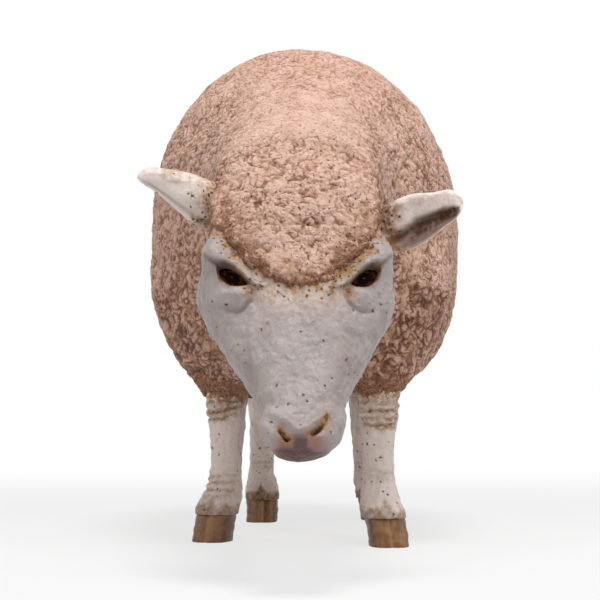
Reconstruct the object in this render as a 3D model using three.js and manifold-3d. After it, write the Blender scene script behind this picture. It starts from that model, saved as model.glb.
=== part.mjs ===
// A life-size statue of a standing, white-faced sheep, cast in resin and painted: a stippled fleece over the
// trunk, neck and crown, a smooth face and shanks, and brown hooves.
// Millimetres, +Z up. The sheep faces -Y and stands on z = 0, and the origin is on the floor in the middle of
// its box.
//
// The outer form is one implicit field, negative inside. It joins stacks of superelliptic sections and a few
// ellipsoids with soft fillets. Each piece is that field meshed at its own step and parted with thin plane cuts.
import * as THREE from "three";
import { mergeVertices } from "three/addons/utils/BufferGeometryUtils.js";
import Module from "manifold-3d";

// ---- Driving dimensions --------------------------------------------------------------------------

const GAP = 0.4; // clear space between neighbouring pieces
const BOX_MIDDLE = [10.13, 76.238]; // x and y of the middle of the sculpture's box, which move to the origin
const CROWN_DEPTH = 5; // how far the crown stands proud of the face
const HEM_DEPTH = 3; // how far the fleece stands proud of a leg at its hem
const CORONET_Z = 42; // where a hoof meets its pastern
const TAIL_Y = 609; // plane that parts the tail from the rump

// Grid step of each meshed piece: fine where the form is fine.
const STEP = { trunk: 40, neck: 34, upper: 29, crown: 20, face: 20, tail: 24 };

// Head frame: s to the sheep's left, n out of the forehead, h from the poll down the face.
const POLL = new THREE.Vector3(-4, -344, 405);
const FACE_SLOPE = THREE.MathUtils.degToRad(28); // face line from vertical
const HEAD_TURN = THREE.MathUtils.degToRad(3); // towards the sheep's left

// Eyeball, and the almond-shaped opening in front of it: half length, half depth and half height.
const EYE = { s: 60, n: -20, h: 128, radius: 17 };
const LIDS = { s: 62, n: -8, h: 129, half: [19, 13, 7.5], slant: 0.65, lean: 0.3 };
const NOSTRIL = { s: 17, n: -2, h: 302, half: [4.5, 10, 9], slant: 0.6 };

// Legs: the upright line of each cannon, how far the foot turns out in degrees, and how far the pastern and the
// sole stand out from the cannon. side is +1 on the sheep's left.
const LEGS = [
  { name: "fore_left", fore: true, side: 1, x: 100, y: 46, toeOut: 6, splay: [2, 7] },
  { name: "fore_right", fore: true, side: -1, x: -97, y: 116, toeOut: 20, splay: [4, 7] },
  { name: "hind_left", fore: false, side: 1, x: 107, y: 535, toeOut: 6, splay: [9, 13] },
  { name: "hind_right", fore: false, side: -1, x: -62, y: 490, toeOut: 4, splay: [-3, -4] },
];

// Woolled part of a leg: lower edge of the fleece, top of the cut, its reach in front of and behind the cannon,
// and its reach towards the sheep's middle.
const FORE_UPPER = { hem: 191, top: 318, front: 84, back: 98, inner: 62 };
const HIND_UPPER = { hem: 212, top: 340, front: 130, back: 84, inner: 62 };
const upperOf = (leg) => (leg.fore ? FORE_UPPER : HIND_UPPER);

// ---- Fields --------------------------------------------------------------------------------------

/** Smooth curve through rows of [place, ...values]: a cubic Hermite with central-difference slopes. */
function profile(rows) {
  const slope = (i, c) => {
    const a = rows[Math.max(i - 1, 0)];
    const b = rows[Math.min(i + 1, rows.length - 1)];
    return (b[c] - a[c]) / (b[0] - a[0]);
  };
  return (place, out) => {
    const t = THREE.MathUtils.clamp(place, rows[0][0], rows[rows.length - 1][0]);
    const after = rows.findIndex((row, n) => n > 0 && t <= row[0]);
    const [a, b] = [rows[after - 1], rows[after]];
    const step = b[0] - a[0];
    const u = (t - a[0]) / step;
    const ease = u * u * (3 - 2 * u);
    const [leave, arrive] = [u * (1 - u) * (1 - u) * step, u * u * (u - 1) * step];
    for (let c = 1; c < rows[0].length; c++) {
      out[c - 1] = a[c] + ease * (b[c] - a[c]) + leave * slope(after - 1, c) + arrive * slope(after, c);
    }
    return out;
  };
}

/** Points of the model as points of a frame, given the frame's matrix. */
function into(frame) {
  const e = frame.clone().invert().elements;
  return (x, y, z, out) => {
    out[0] = e[0] * x + e[4] * y + e[8] * z + e[12];
    out[1] = e[1] * x + e[5] * y + e[9] * z + e[13];
    out[2] = e[2] * x + e[6] * y + e[10] * z + e[14];
    return out;
  };
}

/**
 * A stack of sections along a frame's third axis. Each row is [place, centre a, centre b, half width, half
 * height above, half height below, power above, power below]. A section is the curve |a|^p + |b|^p = 1 in
 * those halves. The ends are round, with the axial radii given.
 */
function stack(frame, rows, lowEnd, highEnd) {
  const section = profile(rows);
  const local = into(frame);
  const [first, last] = [rows[0][0], rows[rows.length - 1][0]];
  const p = [0, 0, 0];
  const s = [0, 0, 0, 0, 0, 0, 0];
  return (x, y, z) => {
    local(x, y, z, p);
    section(p[2], s);
    const past = p[2] > last ? (p[2] - last) / highEnd : Math.max(first - p[2], 0) / lowEnd;
    const above = p[1] > s[1];
    const a = Math.abs(p[0] - s[0]) / s[2];
    const b = Math.abs(p[1] - s[1]) / (above ? s[3] : s[4]);
    const power = above ? s[5] : s[6];
    const ring = (a ** power + b ** power) ** (1 / power);
    return (Math.hypot(ring, past) - 1) * Math.min(s[2], s[3], s[4]);
  };
}

/** Row of a plain stack: the same half height and power above and below. */
const oval = (place, a, b, width, height) => [place, a, b, width, height, height, 2.2, 2.2];

/** An ellipsoid about a point, its axes along a frame's. */
function blob(frame, centre, radii) {
  const local = into(frame);
  const p = [0, 0, 0];
  const least = Math.min(...radii);
  return (x, y, z) => {
    local(x, y, z, p);
    return (Math.hypot(...p.map((v, i) => (v - centre[i]) / radii[i])) - 1) * least;
  };
}

/** Soft union: two fields meet in a fillet about as wide as blend. */
function join(f, g, blend) {
  return (x, y, z) => {
    const [a, b] = [f(x, y, z), g(x, y, z)];
    const k = Math.max(blend - Math.abs(a - b), 0) / blend;
    return Math.min(a, b) - (k * k * blend) / 4;
  };
}

const grown = (f, by) => (x, y, z) => f(x, y, z) - by;

/** Frame with the given origin and third axis, its first axis kept across the sheep. */
function frameAlong(origin, third) {
  const h = third.clone().normalize();
  const s = new THREE.Vector3(1, 0, 0).addScaledVector(h, -h.x).normalize();
  const n = new THREE.Vector3().crossVectors(h, s);
  return new THREE.Matrix4().makeBasis(s, n, h).setPosition(origin);
}

// ---- Trunk, neck and tail ------------------------------------------------------------------------

/** Trunk: sections from the rump to the chest, level, with the rump set a little to the sheep's left. */
function trunkField() {
  return stack(
    frameAlong(new THREE.Vector3(18, 540, 0), new THREE.Vector3(-0.042, -1, 0)),
    [
      [0, 0, 462, 166, 182, 180, 2.15, 2.4],
      [70, 0, 446, 199, 216, 212, 2.12, 2.7],
      [160, 2, 434, 218, 237, 230, 2.1, 2.95],
      [280, 2, 426, 221, 247, 235, 2.1, 3],
      [400, 2, 424, 207, 242, 234, 2.1, 3],
      [490, 1, 422, 186, 221, 227, 2.05, 2.85],
      [570, 0, 414, 150, 180, 194, 2.1, 2.4],
      [640, 0, 402, 104, 130, 140, 2.1, 2.1],
    ],
    72,
    58,
  );
}

/** Neck: from inside the shoulders down to the poll. */
function neckField() {
  const root = new THREE.Vector3(0, 60, 488);
  const poll = new THREE.Vector3(POLL.x, -318, 372);
  return stack(
    frameAlong(root, poll.clone().sub(root)),
    [
      [0, 0, 0, 124, 136, 160, 2.1, 2.1],
      [130, 0, 0, 110, 117, 136, 2.1, 2.1],
      [260, 0, 0, 94, 94, 108, 2.1, 2.1],
      [380, 0, 0, 82, 74, 82, 2.1, 2.1],
    ],
    40,
    36,
  );
}

/** Tail: a short woolly stump that hangs close to the rump. */
function tailField() {
  return stack(
    frameAlong(new THREE.Vector3(20, 604, 566), new THREE.Vector3(0, 0.1, -1)),
    [oval(0, 0, 0, 32, 28), oval(80, 0, 0, 33, 26), oval(160, 0, 0, 24, 19)],
    26,
    22,
  );
}

// ---- Legs ----------------------------------------------------------------------------------------

/** Upright frame on a leg's cannon, turned out by its toe angle: third axis up, second axis back. */
function legFrame(leg) {
  const turn = THREE.MathUtils.degToRad(leg.toeOut) * leg.side;
  return new THREE.Matrix4().makeRotationZ(turn).setPosition(leg.x, leg.y, 0);
}

/** Fore leg, by height: out to the side, back, half width and half depth. */
function foreLegRows(out, pastern) {
  return [
    oval(30, (pastern + 1) * out, -24, 25, 27),
    oval(45, pastern * out, -18, 27, 30),
    oval(60, pastern * 0.6 * out, -8, 24.5, 28),
    oval(78, pastern * 0.2 * out, -2, 21.5, 24),
    oval(110, 0, 0, 20.5, 22),
    oval(140, 0, 0, 22, 24),
    oval(165, 0, -2, 24.5, 27),
    oval(190, out, 2, 27, 30),
    oval(225, 8 * out, 8, 40, 46),
    oval(320, 26 * out, 14, 66, 88),
  ];
}

/** Hind leg: as the fore leg, with its hock set back and its thigh reaching forwards. */
function hindLegRows(out, pastern) {
  return [
    oval(30, pastern * out, -22, 25, 27),
    oval(45, pastern * out, -17, 27, 30),
    oval(60, pastern * 0.6 * out, -6, 24, 27),
    oval(80, pastern * 0.2 * out, -2, 20.5, 23),
    oval(130, 0, 2, 20.5, 23),
    oval(175, 0, 10, 22, 29),
    oval(212, 2 * out, 14, 26, 38),
    oval(245, 6 * out, 4, 33, 46),
    oval(300, 18 * out, -28, 52, 80),
    oval(380, 32 * out, -64, 74, 116),
  ];
}

const legRows = (leg) => (leg.fore ? foreLegRows : hindLegRows)(leg.side, leg.splay[0]);

/** Hoof: flares towards the sole, which is flat on the floor. */
function hoofRows(leg) {
  const out = leg.side;
  const [pastern, sole] = leg.splay;
  return [
    [0, (sole + 1) * out, -28, 24.5, 30, 28, 2.4, 2.6],
    [16, sole * out, -25, 24.5, 29, 28, 2.4, 2.6],
    [CORONET_Z, (pastern + 1) * out, -19, 25, 27, 26, 2.3, 2.4],
  ];
}

// ---- Head ----------------------------------------------------------------------------------------

function headFrame() {
  const down = new THREE.Vector3(0, -Math.sin(FACE_SLOPE), -Math.cos(FACE_SLOPE));
  const frame = frameAlong(new THREE.Vector3(), down);
  return frame.premultiply(new THREE.Matrix4().makeRotationZ(HEAD_TURN)).setPosition(POLL);
}

/** Skull, cheeks and muzzle, with the brows, cheek bones and nostril wings. */
function headField() {
  const frame = headFrame();
  let head = stack(
    frame,
    [
      [36, 0, -52, 70, 52, 58, 2.1, 2.1],
      [70, 0, -50, 82, 54, 66, 2.1, 2.1],
      [100, 0, -49, 92, 56, 72, 2.2, 2.1],
      [130, 0, -47, 96, 53, 72, 2.15, 2.1],
      [163, 0, -43, 82, 47, 68, 2.0, 2.1],
      [203, 0.5, -38, 63.5, 41, 56, 2.0, 2.1],
      [238, 1, -32, 45.5, 34, 46, 2.1, 2.1],
      [262, 1.5, -27, 37.5, 28, 40, 2.2, 2.1],
      [282, 1, -22, 36.5, 24, 36, 2.2, 2.2],
      [296, -1.5, -19, 30, 21, 26, 2.2, 2.2],
    ],
    30,
    17,
  );
  for (const side of [1, -1]) {
    // Brow over the eye, cheek bone under it, and the wing of the nostril.
    head = join(head, blob(frame, [70 * side, -14, 98], [20, 16, 26]), 16);
    head = join(head, blob(frame, [70 * side, -38, 138], [16, 22, 32]), 12);
    head = join(head, blob(frame, [21 * side - 1, -11, 289], [15, 11, 17]), 10);
  }
  return head;
}

/** Crown of wool between the ears, which ends in a blunt edge over the forehead. */
function crownField() {
  return blob(headFrame(), [0, -38, 50], [84, 58, 96]);
}

/** Cylinder bent into a stack of sections: a closed loft from one place on the stack to another. */
function loft(frame, rows, from, to, around, rings) {
  const section = profile(rows);
  const tube = new THREE.CylinderGeometry(1, 1, 1, around, rings);
  const place = tube.getAttribute("position");
  const s = [0, 0, 0, 0, 0, 0, 0];
  for (let i = 0; i < place.count; i++) {
    const third = from + (place.getY(i) + 0.5) * (to - from);
    section(third, s);
    const [a, b] = [place.getX(i), -place.getZ(i)];
    const power = b > 0 ? s[5] : s[6];
    const ring = (Math.abs(a) ** power + Math.abs(b) ** power) ** (1 / power) || 1;
    const scale = Math.hypot(a, b) / ring;
    place.setXYZ(i, s[0] + s[2] * a * scale, s[1] + (b > 0 ? s[3] : s[4]) * b * scale, third);
  }
  return tube.applyMatrix4(frame);
}

/**
 * Ear: rows of share of its length, upper edge x, y and z, lower edge x, y and z, half thickness, and how far the
 * middle bows forward of the edges. The sections crowd towards the tip, which is rounded off.
 */
function earGeometry(ear) {
  const sections = profile(ear.rows);
  const tube = new THREE.CylinderGeometry(1, 1, 1, 12, 8);
  const place = tube.getAttribute("position");
  const values = [0, 0, 0, 0, 0, 0, 0, 0];
  for (let i = 0; i < place.count; i++) {
    const [x, y, z] = [place.getX(i), 1 - Math.pow(0.5 - place.getY(i), 1.6), place.getZ(i)];
    const [ux, uy, uz, lx, ly, lz, thick, bow] = sections(y, values);
    const round = Math.sqrt(1 - Math.pow((0.96 * Math.max(y - 0.85, 0)) / 0.15, 2));
    const upper = new THREE.Vector3(ux, uy, uz);
    const chord = upper.clone().sub(new THREE.Vector3(lx, ly, lz)).multiplyScalar(0.5);
    const front = new THREE.Vector3().crossVectors(chord, ear.along).normalize();
    const turn = front.y > 0 ? -1 : 1;
    const at = upper
      .sub(chord)
      .addScaledVector(chord, x * turn * round)
      .addScaledVector(front, turn * (z * thick * round + bow * (1 - x * x)));
    place.setXYZ(i, at.x, at.y, at.z);
  }
  return tube;
}

const EARS = [
  {
    name: "ear_left",
    along: new THREE.Vector3(0.94, -0.27, 0.2),
    rows: [
      [0, 62, -316, 358, 66, -312, 318, 11, -4],
      [0.2, 87, -324, 368, 93, -318, 323, 9, -5],
      [0.35, 100, -330, 375, 104, -325, 322, 8, -6],
      [0.5, 114, -335, 379, 119, -330, 327, 7.5, -7],
      [0.7, 133, -342, 379, 136, -337, 338, 7, -6],
      [0.85, 147, -346, 381, 148, -343, 347, 6.5, -4],
      [1, 161, -350, 380, 162, -348, 353, 5, -2],
    ],
  },
  {
    name: "ear_right",
    along: new THREE.Vector3(-0.94, -0.27, 0.2),
    rows: [
      [0, -60, -316, 386, -64, -312, 338, 13, 5],
      [0.2, -88, -328, 392.5, -91, -318, 345, 13, 6],
      [0.32, -101, -335, 396.5, -104, -326, 346, 12, 7],
      [0.45, -114, -340, 400, -117, -333, 357, 10.5, 6],
      [0.65, -134, -345, 402.5, -135, -340, 372, 8.5, 4],
      [0.85, -150, -348, 403.5, -150, -346, 383, 7.5, 2],
      [1, -161.5, -350, 400, -161.5, -349, 387, 6.5, 1],
    ],
  },
];

// ---- Meshing -------------------------------------------------------------------------------------

/** Calls visit(i, j, k, n) for every cell of a grid that is one smaller than size each way. */
function eachCell(size, visit) {
  for (let k = 0; k < size[2] - 1; k++) {
    for (let j = 0; j < size[1] - 1; j++) {
      for (let i = 0; i < size[0] - 1; i++) {
        visit(i, j, k, i + size[0] * (j + size[1] * k));
      }
    }
  }
}

const CORNERS = [0, 1, 2, 3, 4, 5, 6, 7].map((c) => [c & 1, (c >> 1) & 1, (c >> 2) & 1]);
const EDGES = CORNERS.flatMap((_, a) => [1, 2, 4].filter((bit) => !(a & bit)).map((bit) => [a, a | bit]));

/** Values of a field on a grid. The outermost nodes count as outside, so every surface in the grid is closed. */
function sample(field, low, size, step) {
  const value = new Float32Array(size[0] * size[1] * size[2]).fill(step);
  eachCell(size, (i, j, k, n) => {
    if (i * j * k > 0) value[n] = field(low[0] + i * step, low[1] + j * step, low[2] + k * step);
  });
  return value;
}

/** Point of a vertex moved along the field's gradient onto the surface, by less than half a step. */
function settled(field, point, step) {
  const d = 0.5;
  const f = field(...point);
  const slope = point.map((_, c) => (field(...point.map((v, e) => v + (e === c ? d : 0))) - f) / d);
  const steep = Math.hypot(...slope);
  const move = THREE.MathUtils.clamp(-f / steep, -0.45 * step, 0.45 * step) / steep;
  return point.map((v, c) => v + slope[c] * move);
}

/** Surface nets: one vertex in each grid cell that the surface crosses, and a quad across each crossed edge. */
function skinOf(field, low, high, step) {
  const size = low.map((v, c) => Math.ceil((high[c] - v) / step) + 1);
  const stride = [1, size[0], size[0] * size[1]];
  const value = sample(field, low, size, step);
  const vertexOf = new Int32Array(value.length).fill(-1);
  const points = [];
  eachCell(size, (i, j, k, n) => {
    const v = CORNERS.map(([a, b, c]) => value[n + a + b * stride[1] + c * stride[2]]);
    const crossed = EDGES.filter(([a, b]) => v[a] < 0 !== v[b] < 0);
    if (crossed.length === 0) return;
    const middle = [0, 1, 2].map((c) => {
      const along = ([a, b]) => CORNERS[a][c] + (v[a] / (v[a] - v[b])) * (CORNERS[b][c] - CORNERS[a][c]);
      return crossed.reduce((sum, edge) => sum + along(edge), 0) / crossed.length;
    });
    const point = [i, j, k].map((g, c) => low[c] + (g + middle[c]) * step);
    const rim = [i, j, k].some((g, c) => g === 0 || g === size[c] - 2);
    vertexOf[n] = points.length / 3;
    points.push(...(rim ? point : settled(field, point, step)));
  });
  const faces = [];
  eachCell(size, (i, j, k, n) => {
    for (let a = 0; a < 3; a++) {
      const rim = [i, j, k].some((g, c) => c !== a && g === 0);
      const inside = value[n] < 0;
      if (rim || inside === value[n + stride[a]] < 0) continue;
      const [b, c] = [stride[(a + 1) % 3], stride[(a + 2) % 3]];
      const ring = [n - b - c, n - c, n, n - b].map((m) => vertexOf[m]);
      const [p, q, r, s] = inside ? ring : ring.reverse();
      faces.push(p, q, r, p, r, s);
    }
  });
  return new THREE.BufferGeometry()
    .setAttribute("position", new THREE.Float32BufferAttribute(points, 3))
    .setIndex(faces);
}

// ---- Solids --------------------------------------------------------------------------------------

const wasm = await Module();
wasm.setup();

/** A closed three.js geometry as a solid. */
function solid(geometry) {
  const bare = new THREE.BufferGeometry()
    .setAttribute("position", geometry.getAttribute("position"))
    .setIndex(geometry.index);
  const merged = mergeVertices(bare, 1e-3);
  const mesh = new wasm.Mesh({
    numProp: 3,
    vertProperties: new Float32Array(merged.getAttribute("position").array),
    triVerts: new Uint32Array(merged.index.array),
  });
  mesh.merge();
  return new wasm.Manifold(mesh);
}

/** A solid as a three.js geometry. */
function geometryOf(made) {
  const mesh = made.getMesh();
  const geometry = new THREE.BufferGeometry()
    .setAttribute("position", new THREE.BufferAttribute(new Float32Array(mesh.vertProperties), 3))
    .setIndex(new THREE.BufferAttribute(new Uint32Array(mesh.triVerts), 1));
  geometry.computeVertexNormals();
  return geometry;
}

/** Plane through a point, as its unit normal and offset. */
function plane(point, normal) {
  const unit = new THREE.Vector3(...normal).normalize();
  return { unit, offset: unit.dot(new THREE.Vector3(...point)) };
}

/** Part of a solid on one side of a plane, less half the gap. side is 1 where the normal points, else -1. */
function keep(made, cut, side) {
  return made.trimByPlane(cut.unit.clone().multiplyScalar(side).toArray(), cut.offset * side + GAP / 2);
}

/** Box solid between two corners. */
function boxSolid(low, high) {
  const size = high.clone().sub(low);
  const middle = high.clone().add(low).multiplyScalar(0.5);
  return solid(new THREE.BoxGeometry(...size.toArray()).translate(...middle.toArray()));
}

/** Ellipsoid solid in the head frame: half sizes, place, and turns about n and then h. */
function eggSolid(half, place, slant, lean, segments) {
  const egg = new THREE.SphereGeometry(1, segments, segments / 2).scale(...half);
  return solid(egg.rotateY(slant).rotateZ(lean).translate(...place).applyMatrix4(headFrame()));
}

// ---- Pieces --------------------------------------------------------------------------------------

const FLEECE = new THREE.MeshStandardMaterial({ color: "#c9a596", roughness: 0.85, metalness: 0 });
const WHITE = new THREE.MeshStandardMaterial({ color: "#d5d1cc", roughness: 0.38, metalness: 0 });
const HORN = new THREE.MeshStandardMaterial({ color: "#7d6146", roughness: 0.6, metalness: 0 });
const GLASS = new THREE.MeshStandardMaterial({ color: "#1d0f0b", roughness: 0.08, metalness: 0 });

// Cuts. Each normal points to the side named first.
const NECK_FROM_TRUNK = plane([0, -62, 430], [0, -1, 0.45]);
const HEAD_FROM_NECK = plane([0, -290, 372], [0, -1, -0.15]);

const face = headField();
const crown = crownField();
const woolled = join(join(trunkField(), neckField(), 40), join(grown(face, 2), crown, 20), 24);
const body = LEGS.reduce(
  (f, leg) => join(f, grown(stack(legFrame(leg), legRows(leg), 12, 70), HEM_DEPTH), 30),
  join(woolled, tailField(), 24),
);

const sheep = new THREE.Group();
sheep.position.set(-BOX_MIDDLE[0], -BOX_MIDDLE[1], 0);

function add(name, made, material) {
  const mesh = new THREE.Mesh(geometryOf(made), material);
  mesh.name = name;
  sheep.add(mesh);
}

/** Corners of the box that cuts the woolled part of a leg out of the body. */
function upperCorners(leg) {
  const { hem, top, front, back, inner } = upperOf(leg);
  const x = [leg.x - leg.side * inner, leg.side * 262].sort((a, b) => a - b);
  return [new THREE.Vector3(x[0], leg.y - front, hem), new THREE.Vector3(x[1], leg.y + back, top)];
}

/** Woolled part of a leg, from its hem up to the flank. */
function addUpper(leg) {
  const [low, high] = upperCorners(leg);
  const [from, to] = [low.clone().subScalar(40), high.clone().addScalar(40)];
  const limb = solid(skinOf(body, from.toArray(), to.toArray(), STEP.upper));
  add(`${leg.name}_upper`, limb.intersect(boxSolid(low, high)), FLEECE);
}

/** Bare part of a leg, from the coronet up to the hem. */
function addShank(leg) {
  const top = upperOf(leg).hem - GAP / 2;
  const shank = loft(legFrame(leg), legRows(leg), CORONET_Z + GAP / 2, top, 14, 8);
  add(`${leg.name}_shank`, solid(shank), WHITE);
}

function addHoof(leg) {
  const hoof = loft(legFrame(leg), hoofRows(leg), 0, CORONET_Z - GAP / 2, 14, 3);
  add(`${leg.name}_hoof`, solid(hoof), HORN);
}

/** Tail and trunk: the body without the neck, and with the leg and tail boxes cut out. */
function addTrunkAndTail() {
  const [low, high] = [new THREE.Vector3(-30, TAIL_Y, 360), new THREE.Vector3(70, 700, 640)];
  const stern = solid(skinOf(body, [-70, 540, 340], [110, 690, 640], STEP.tail));
  add("tail", stern.intersect(boxSolid(low, high)), FLEECE);
  const whole = solid(skinOf(body, [-262, -330, 90], [262, 690, 720], STEP.trunk));
  let trunk = keep(whole, NECK_FROM_TRUNK, -1).subtract(boxSolid(low.subScalar(GAP), high));
  for (const leg of LEGS) {
    const [from, to] = upperCorners(leg);
    trunk = trunk.subtract(boxSolid(from.setZ(0).subScalar(GAP), to.addScalar(GAP)));
  }
  add("trunk", trunk, FLEECE);
}

function addNeck() {
  const collar = solid(skinOf(woolled, [-160, -520, 150], [170, 60, 660], STEP.neck));
  add("neck", keep(keep(collar, NECK_FROM_TRUNK, 1), HEAD_FROM_NECK, -1), FLEECE);
}

/** Head with its crown of wool, standing proud by a depth. */
function headSolid(depth, step) {
  const whole = join(grown(face, depth), grown(crown, depth), 12);
  return solid(skinOf(whole, [-136, -563, 86], [140, -200, 510], step));
}

/** Cap that parts the crown from the face, grown by a clearance. */
const capSolid = (by) => eggSolid([84 + by, 60 + by, 126 + by], [0, 10, 20], 0, 0, 24);

/** Crown and face, which meet along the edge of the cap. The face holds the eyes in round sockets. */
function addHead() {
  const crowned = keep(headSolid(CROWN_DEPTH, STEP.crown), HEAD_FROM_NECK, 1);
  add("crown", crowned.intersect(capSolid(0)), FLEECE);
  let bare = keep(headSolid(0, STEP.face), HEAD_FROM_NECK, 1).subtract(capSolid(GAP));
  for (const side of [1, -1]) {
    const ball = (by) => eggSolid(Array(3).fill(EYE.radius + by), [EYE.s * side, EYE.n, EYE.h], 0, 0, 16);
    const opening = [LIDS.half, [LIDS.s * side, LIDS.n, LIDS.h], LIDS.slant * side, -LIDS.lean * side, 16];
    const slot = [NOSTRIL.half, [NOSTRIL.s * side, NOSTRIL.n, NOSTRIL.h], -NOSTRIL.slant * side, 0, 10];
    bare = bare.subtract(ball(GAP)).subtract(eggSolid(...opening)).subtract(eggSolid(...slot));
    add(side > 0 ? "eye_left" : "eye_right", ball(0), GLASS);
  }
  add("face", bare, WHITE);
}

/** Ear, cut clear of the head that it grows from. */
function addEar(ear) {
  const clear = headSolid(CROWN_DEPTH + 2 * GAP, STEP.crown);
  add(ear.name, solid(earGeometry(ear)).subtract(clear), WHITE);
}

addTrunkAndTail();
addNeck();
addHead();
EARS.forEach(addEar);
for (const leg of LEGS) {
  addUpper(leg);
  addShank(leg);
  addHoof(leg);
}

export default sheep;
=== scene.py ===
"""Looks of a life-size statue of a standing, white-faced sheep, cast in resin and painted.

The form is one implicit field in the sculptor's frame: millimetres, the sheep facing -Y, its soles on z = 0.
It joins stacks of superelliptic sections and ellipsoids with soft fillets. A net of quads is laid over the
field, quads are divided where they show, and the points are settled on the field. The modelled relief then
moves them. Ears, shanks, eyes and hooves are rings of points.

One skin of smooth white casting runs under the whole sheep and shows at the face, ears and shanks. The fleece
is a crust of crumpled relief over it, in a few pieces that meet edge to edge. Eyes and hooves are pieces of
their own. Every object is in metres, with its origin on the floor in the middle of the model's box.
"""

import logging
import math
from concurrent.futures import ThreadPoolExecutor
from dataclasses import dataclass, field
from enum import Enum
from functools import cached_property
from typing import Callable, Protocol, Sequence

import bpy
import numpy as np
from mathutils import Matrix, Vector


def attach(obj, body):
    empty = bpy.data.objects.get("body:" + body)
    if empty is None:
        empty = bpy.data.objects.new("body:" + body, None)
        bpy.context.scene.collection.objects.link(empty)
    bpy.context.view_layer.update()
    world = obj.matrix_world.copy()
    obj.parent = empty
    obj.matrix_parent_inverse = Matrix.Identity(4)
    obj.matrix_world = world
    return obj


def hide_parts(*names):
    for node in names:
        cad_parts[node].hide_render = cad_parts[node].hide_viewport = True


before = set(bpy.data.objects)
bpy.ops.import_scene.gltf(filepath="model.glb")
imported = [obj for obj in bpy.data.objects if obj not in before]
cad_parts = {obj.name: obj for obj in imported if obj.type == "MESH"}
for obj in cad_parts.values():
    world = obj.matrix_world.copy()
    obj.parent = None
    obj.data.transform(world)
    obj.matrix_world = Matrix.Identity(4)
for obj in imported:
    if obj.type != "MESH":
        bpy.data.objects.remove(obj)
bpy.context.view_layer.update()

LOG = logging.getLogger("sheep")
Array = np.ndarray
Rows = Sequence[Sequence[float]]
Marks = dict[str, Array]  # values for each point, by what they mark
Triple = tuple[float, float, float]
Material, Object = bpy.types.Material, bpy.types.Object

MM = 0.001  # metres in a millimetre
BOX_MIDDLE = np.array([10.13, 76.238, 0.0])  # the sculptor's x and y of the middle of the box, mm
BODY = "root"  # the one body that every piece rides on
WORKERS = 4  # threads that share a long sum over points
FEW = 4000  # fewer points than this are left to one thread


# ---- Sums over many points ----


def eased(x: Array, low: float, high: float) -> Array:
    """Step from 0 at low to 1 at high with level ends: t squared times (3 - 2t)."""
    t = np.clip((x - low) / (high - low), 0.0, 1.0)
    return t * t * (3.0 - 2.0 * t)


def bell(x: Array, middle: float, spread: float) -> Array:
    """Bell curve of height 1: e to minus the square of the distance over the spread."""
    return np.exp(-(((x - middle) / spread) ** 2))


def unit(v: Array) -> Array:
    """Vectors at length 1, along the last axis."""
    return v / np.maximum(np.linalg.norm(v, axis=-1, keepdims=True), 1e-12)


def in_metres(points: Array) -> Array:
    """The sculptor's millimetres as the model's metres."""
    return (points - BOX_MIDDLE) * MM


def shared(work: Callable[[Array], Array], points: Array) -> Array:
    """Runs a sum over points in a few threads.

    Args:
        work: takes some of the points and gives one row for each.
        points: all the points, one per row.

    Returns:
        The rows for all the points, in order.
    """
    if len(points) < FEW:
        return work(points)
    with ThreadPoolExecutor(WORKERS) as pool:
        return np.concatenate(list(pool.map(work, np.array_split(points, WORKERS * 3))))


# ---- Noise ----


def scrambled(cell: Array, seed: int) -> Array:
    """Whole-number hash of grid cells, the same on every run.

    Args:
        cell: whole numbers, with x, y and z on the last axis.
        seed: a different number for each pattern.

    Returns:
        One unsigned number for each cell.
    """
    c = cell.astype(np.int64).astype(np.uint32)
    h = c[..., 0] * np.uint32(73856093) ^ c[..., 1] * np.uint32(19349663) ^ c[..., 2] * np.uint32(83492791)
    h = (h ^ np.uint32((seed * 2654435761) & 0xFFFFFFFF)) * np.uint32(2246822519)
    h = (h ^ (h >> np.uint32(15))) * np.uint32(3266489917)
    return h ^ (h >> np.uint32(13))


def directions(count: int) -> Array:
    """Unit vectors spread evenly over a sphere on a golden spiral.

    Args:
        count: how many.

    Returns:
        One vector in each row.
    """
    i = np.arange(count) + 0.5
    z = 1.0 - 2.0 * i / count
    turn = i * math.pi * (3.0 - math.sqrt(5.0))
    r = np.sqrt(1.0 - z * z)
    return np.stack([r * np.cos(turn), r * np.sin(turn), z], 1)


SLOPES = directions(256)
NOISE_GAIN = 1.6  # brings the noise up to about 1 at its highest


def swell(points: Array, size: float, seed: int) -> Array:
    """Smooth noise between about -1 and 1: slopes hashed at grid corners, blended by a fifth-power step.

    Args:
        points: places in mm.
        size: distance between grid corners, mm.
        seed: number of the pattern.

    Returns:
        The noise at each place.
    """
    q = points / size
    base = np.floor(q)
    f = q - base
    w = f * f * f * (f * (f * 6.0 - 15.0) + 10.0)
    total = np.zeros(len(points))
    for corner in range(8):
        bits = np.array([corner & 1, (corner >> 1) & 1, corner >> 2])
        slope = SLOPES[scrambled(base + bits, seed) & np.uint32(255)]
        share = np.prod(np.where(bits == 1, w, 1.0 - w), axis=1)
        total += share * np.einsum("ij,ij->i", slope, f - bits)
    return total * NOISE_GAIN


# ---- Forms: implicit fields, negative inside, in mm ----


class Form(Protocol):
    """An implicit solid."""

    def at(self, points: Array) -> Array:
        """Roughly the distance to the surface at each point, negative inside."""


@dataclass
class Axes:
    """A frame in space: an origin and three axes, in the columns of turn."""

    origin: Array
    turn: Array

    def local(self, points: Array) -> Array:
        """The sculptor's points in this frame."""
        return (points - self.origin) @ self.turn

    def world(self, points: Array) -> Array:
        """Points of this frame in the sculptor's."""
        return points @ self.turn.T + self.origin


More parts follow.
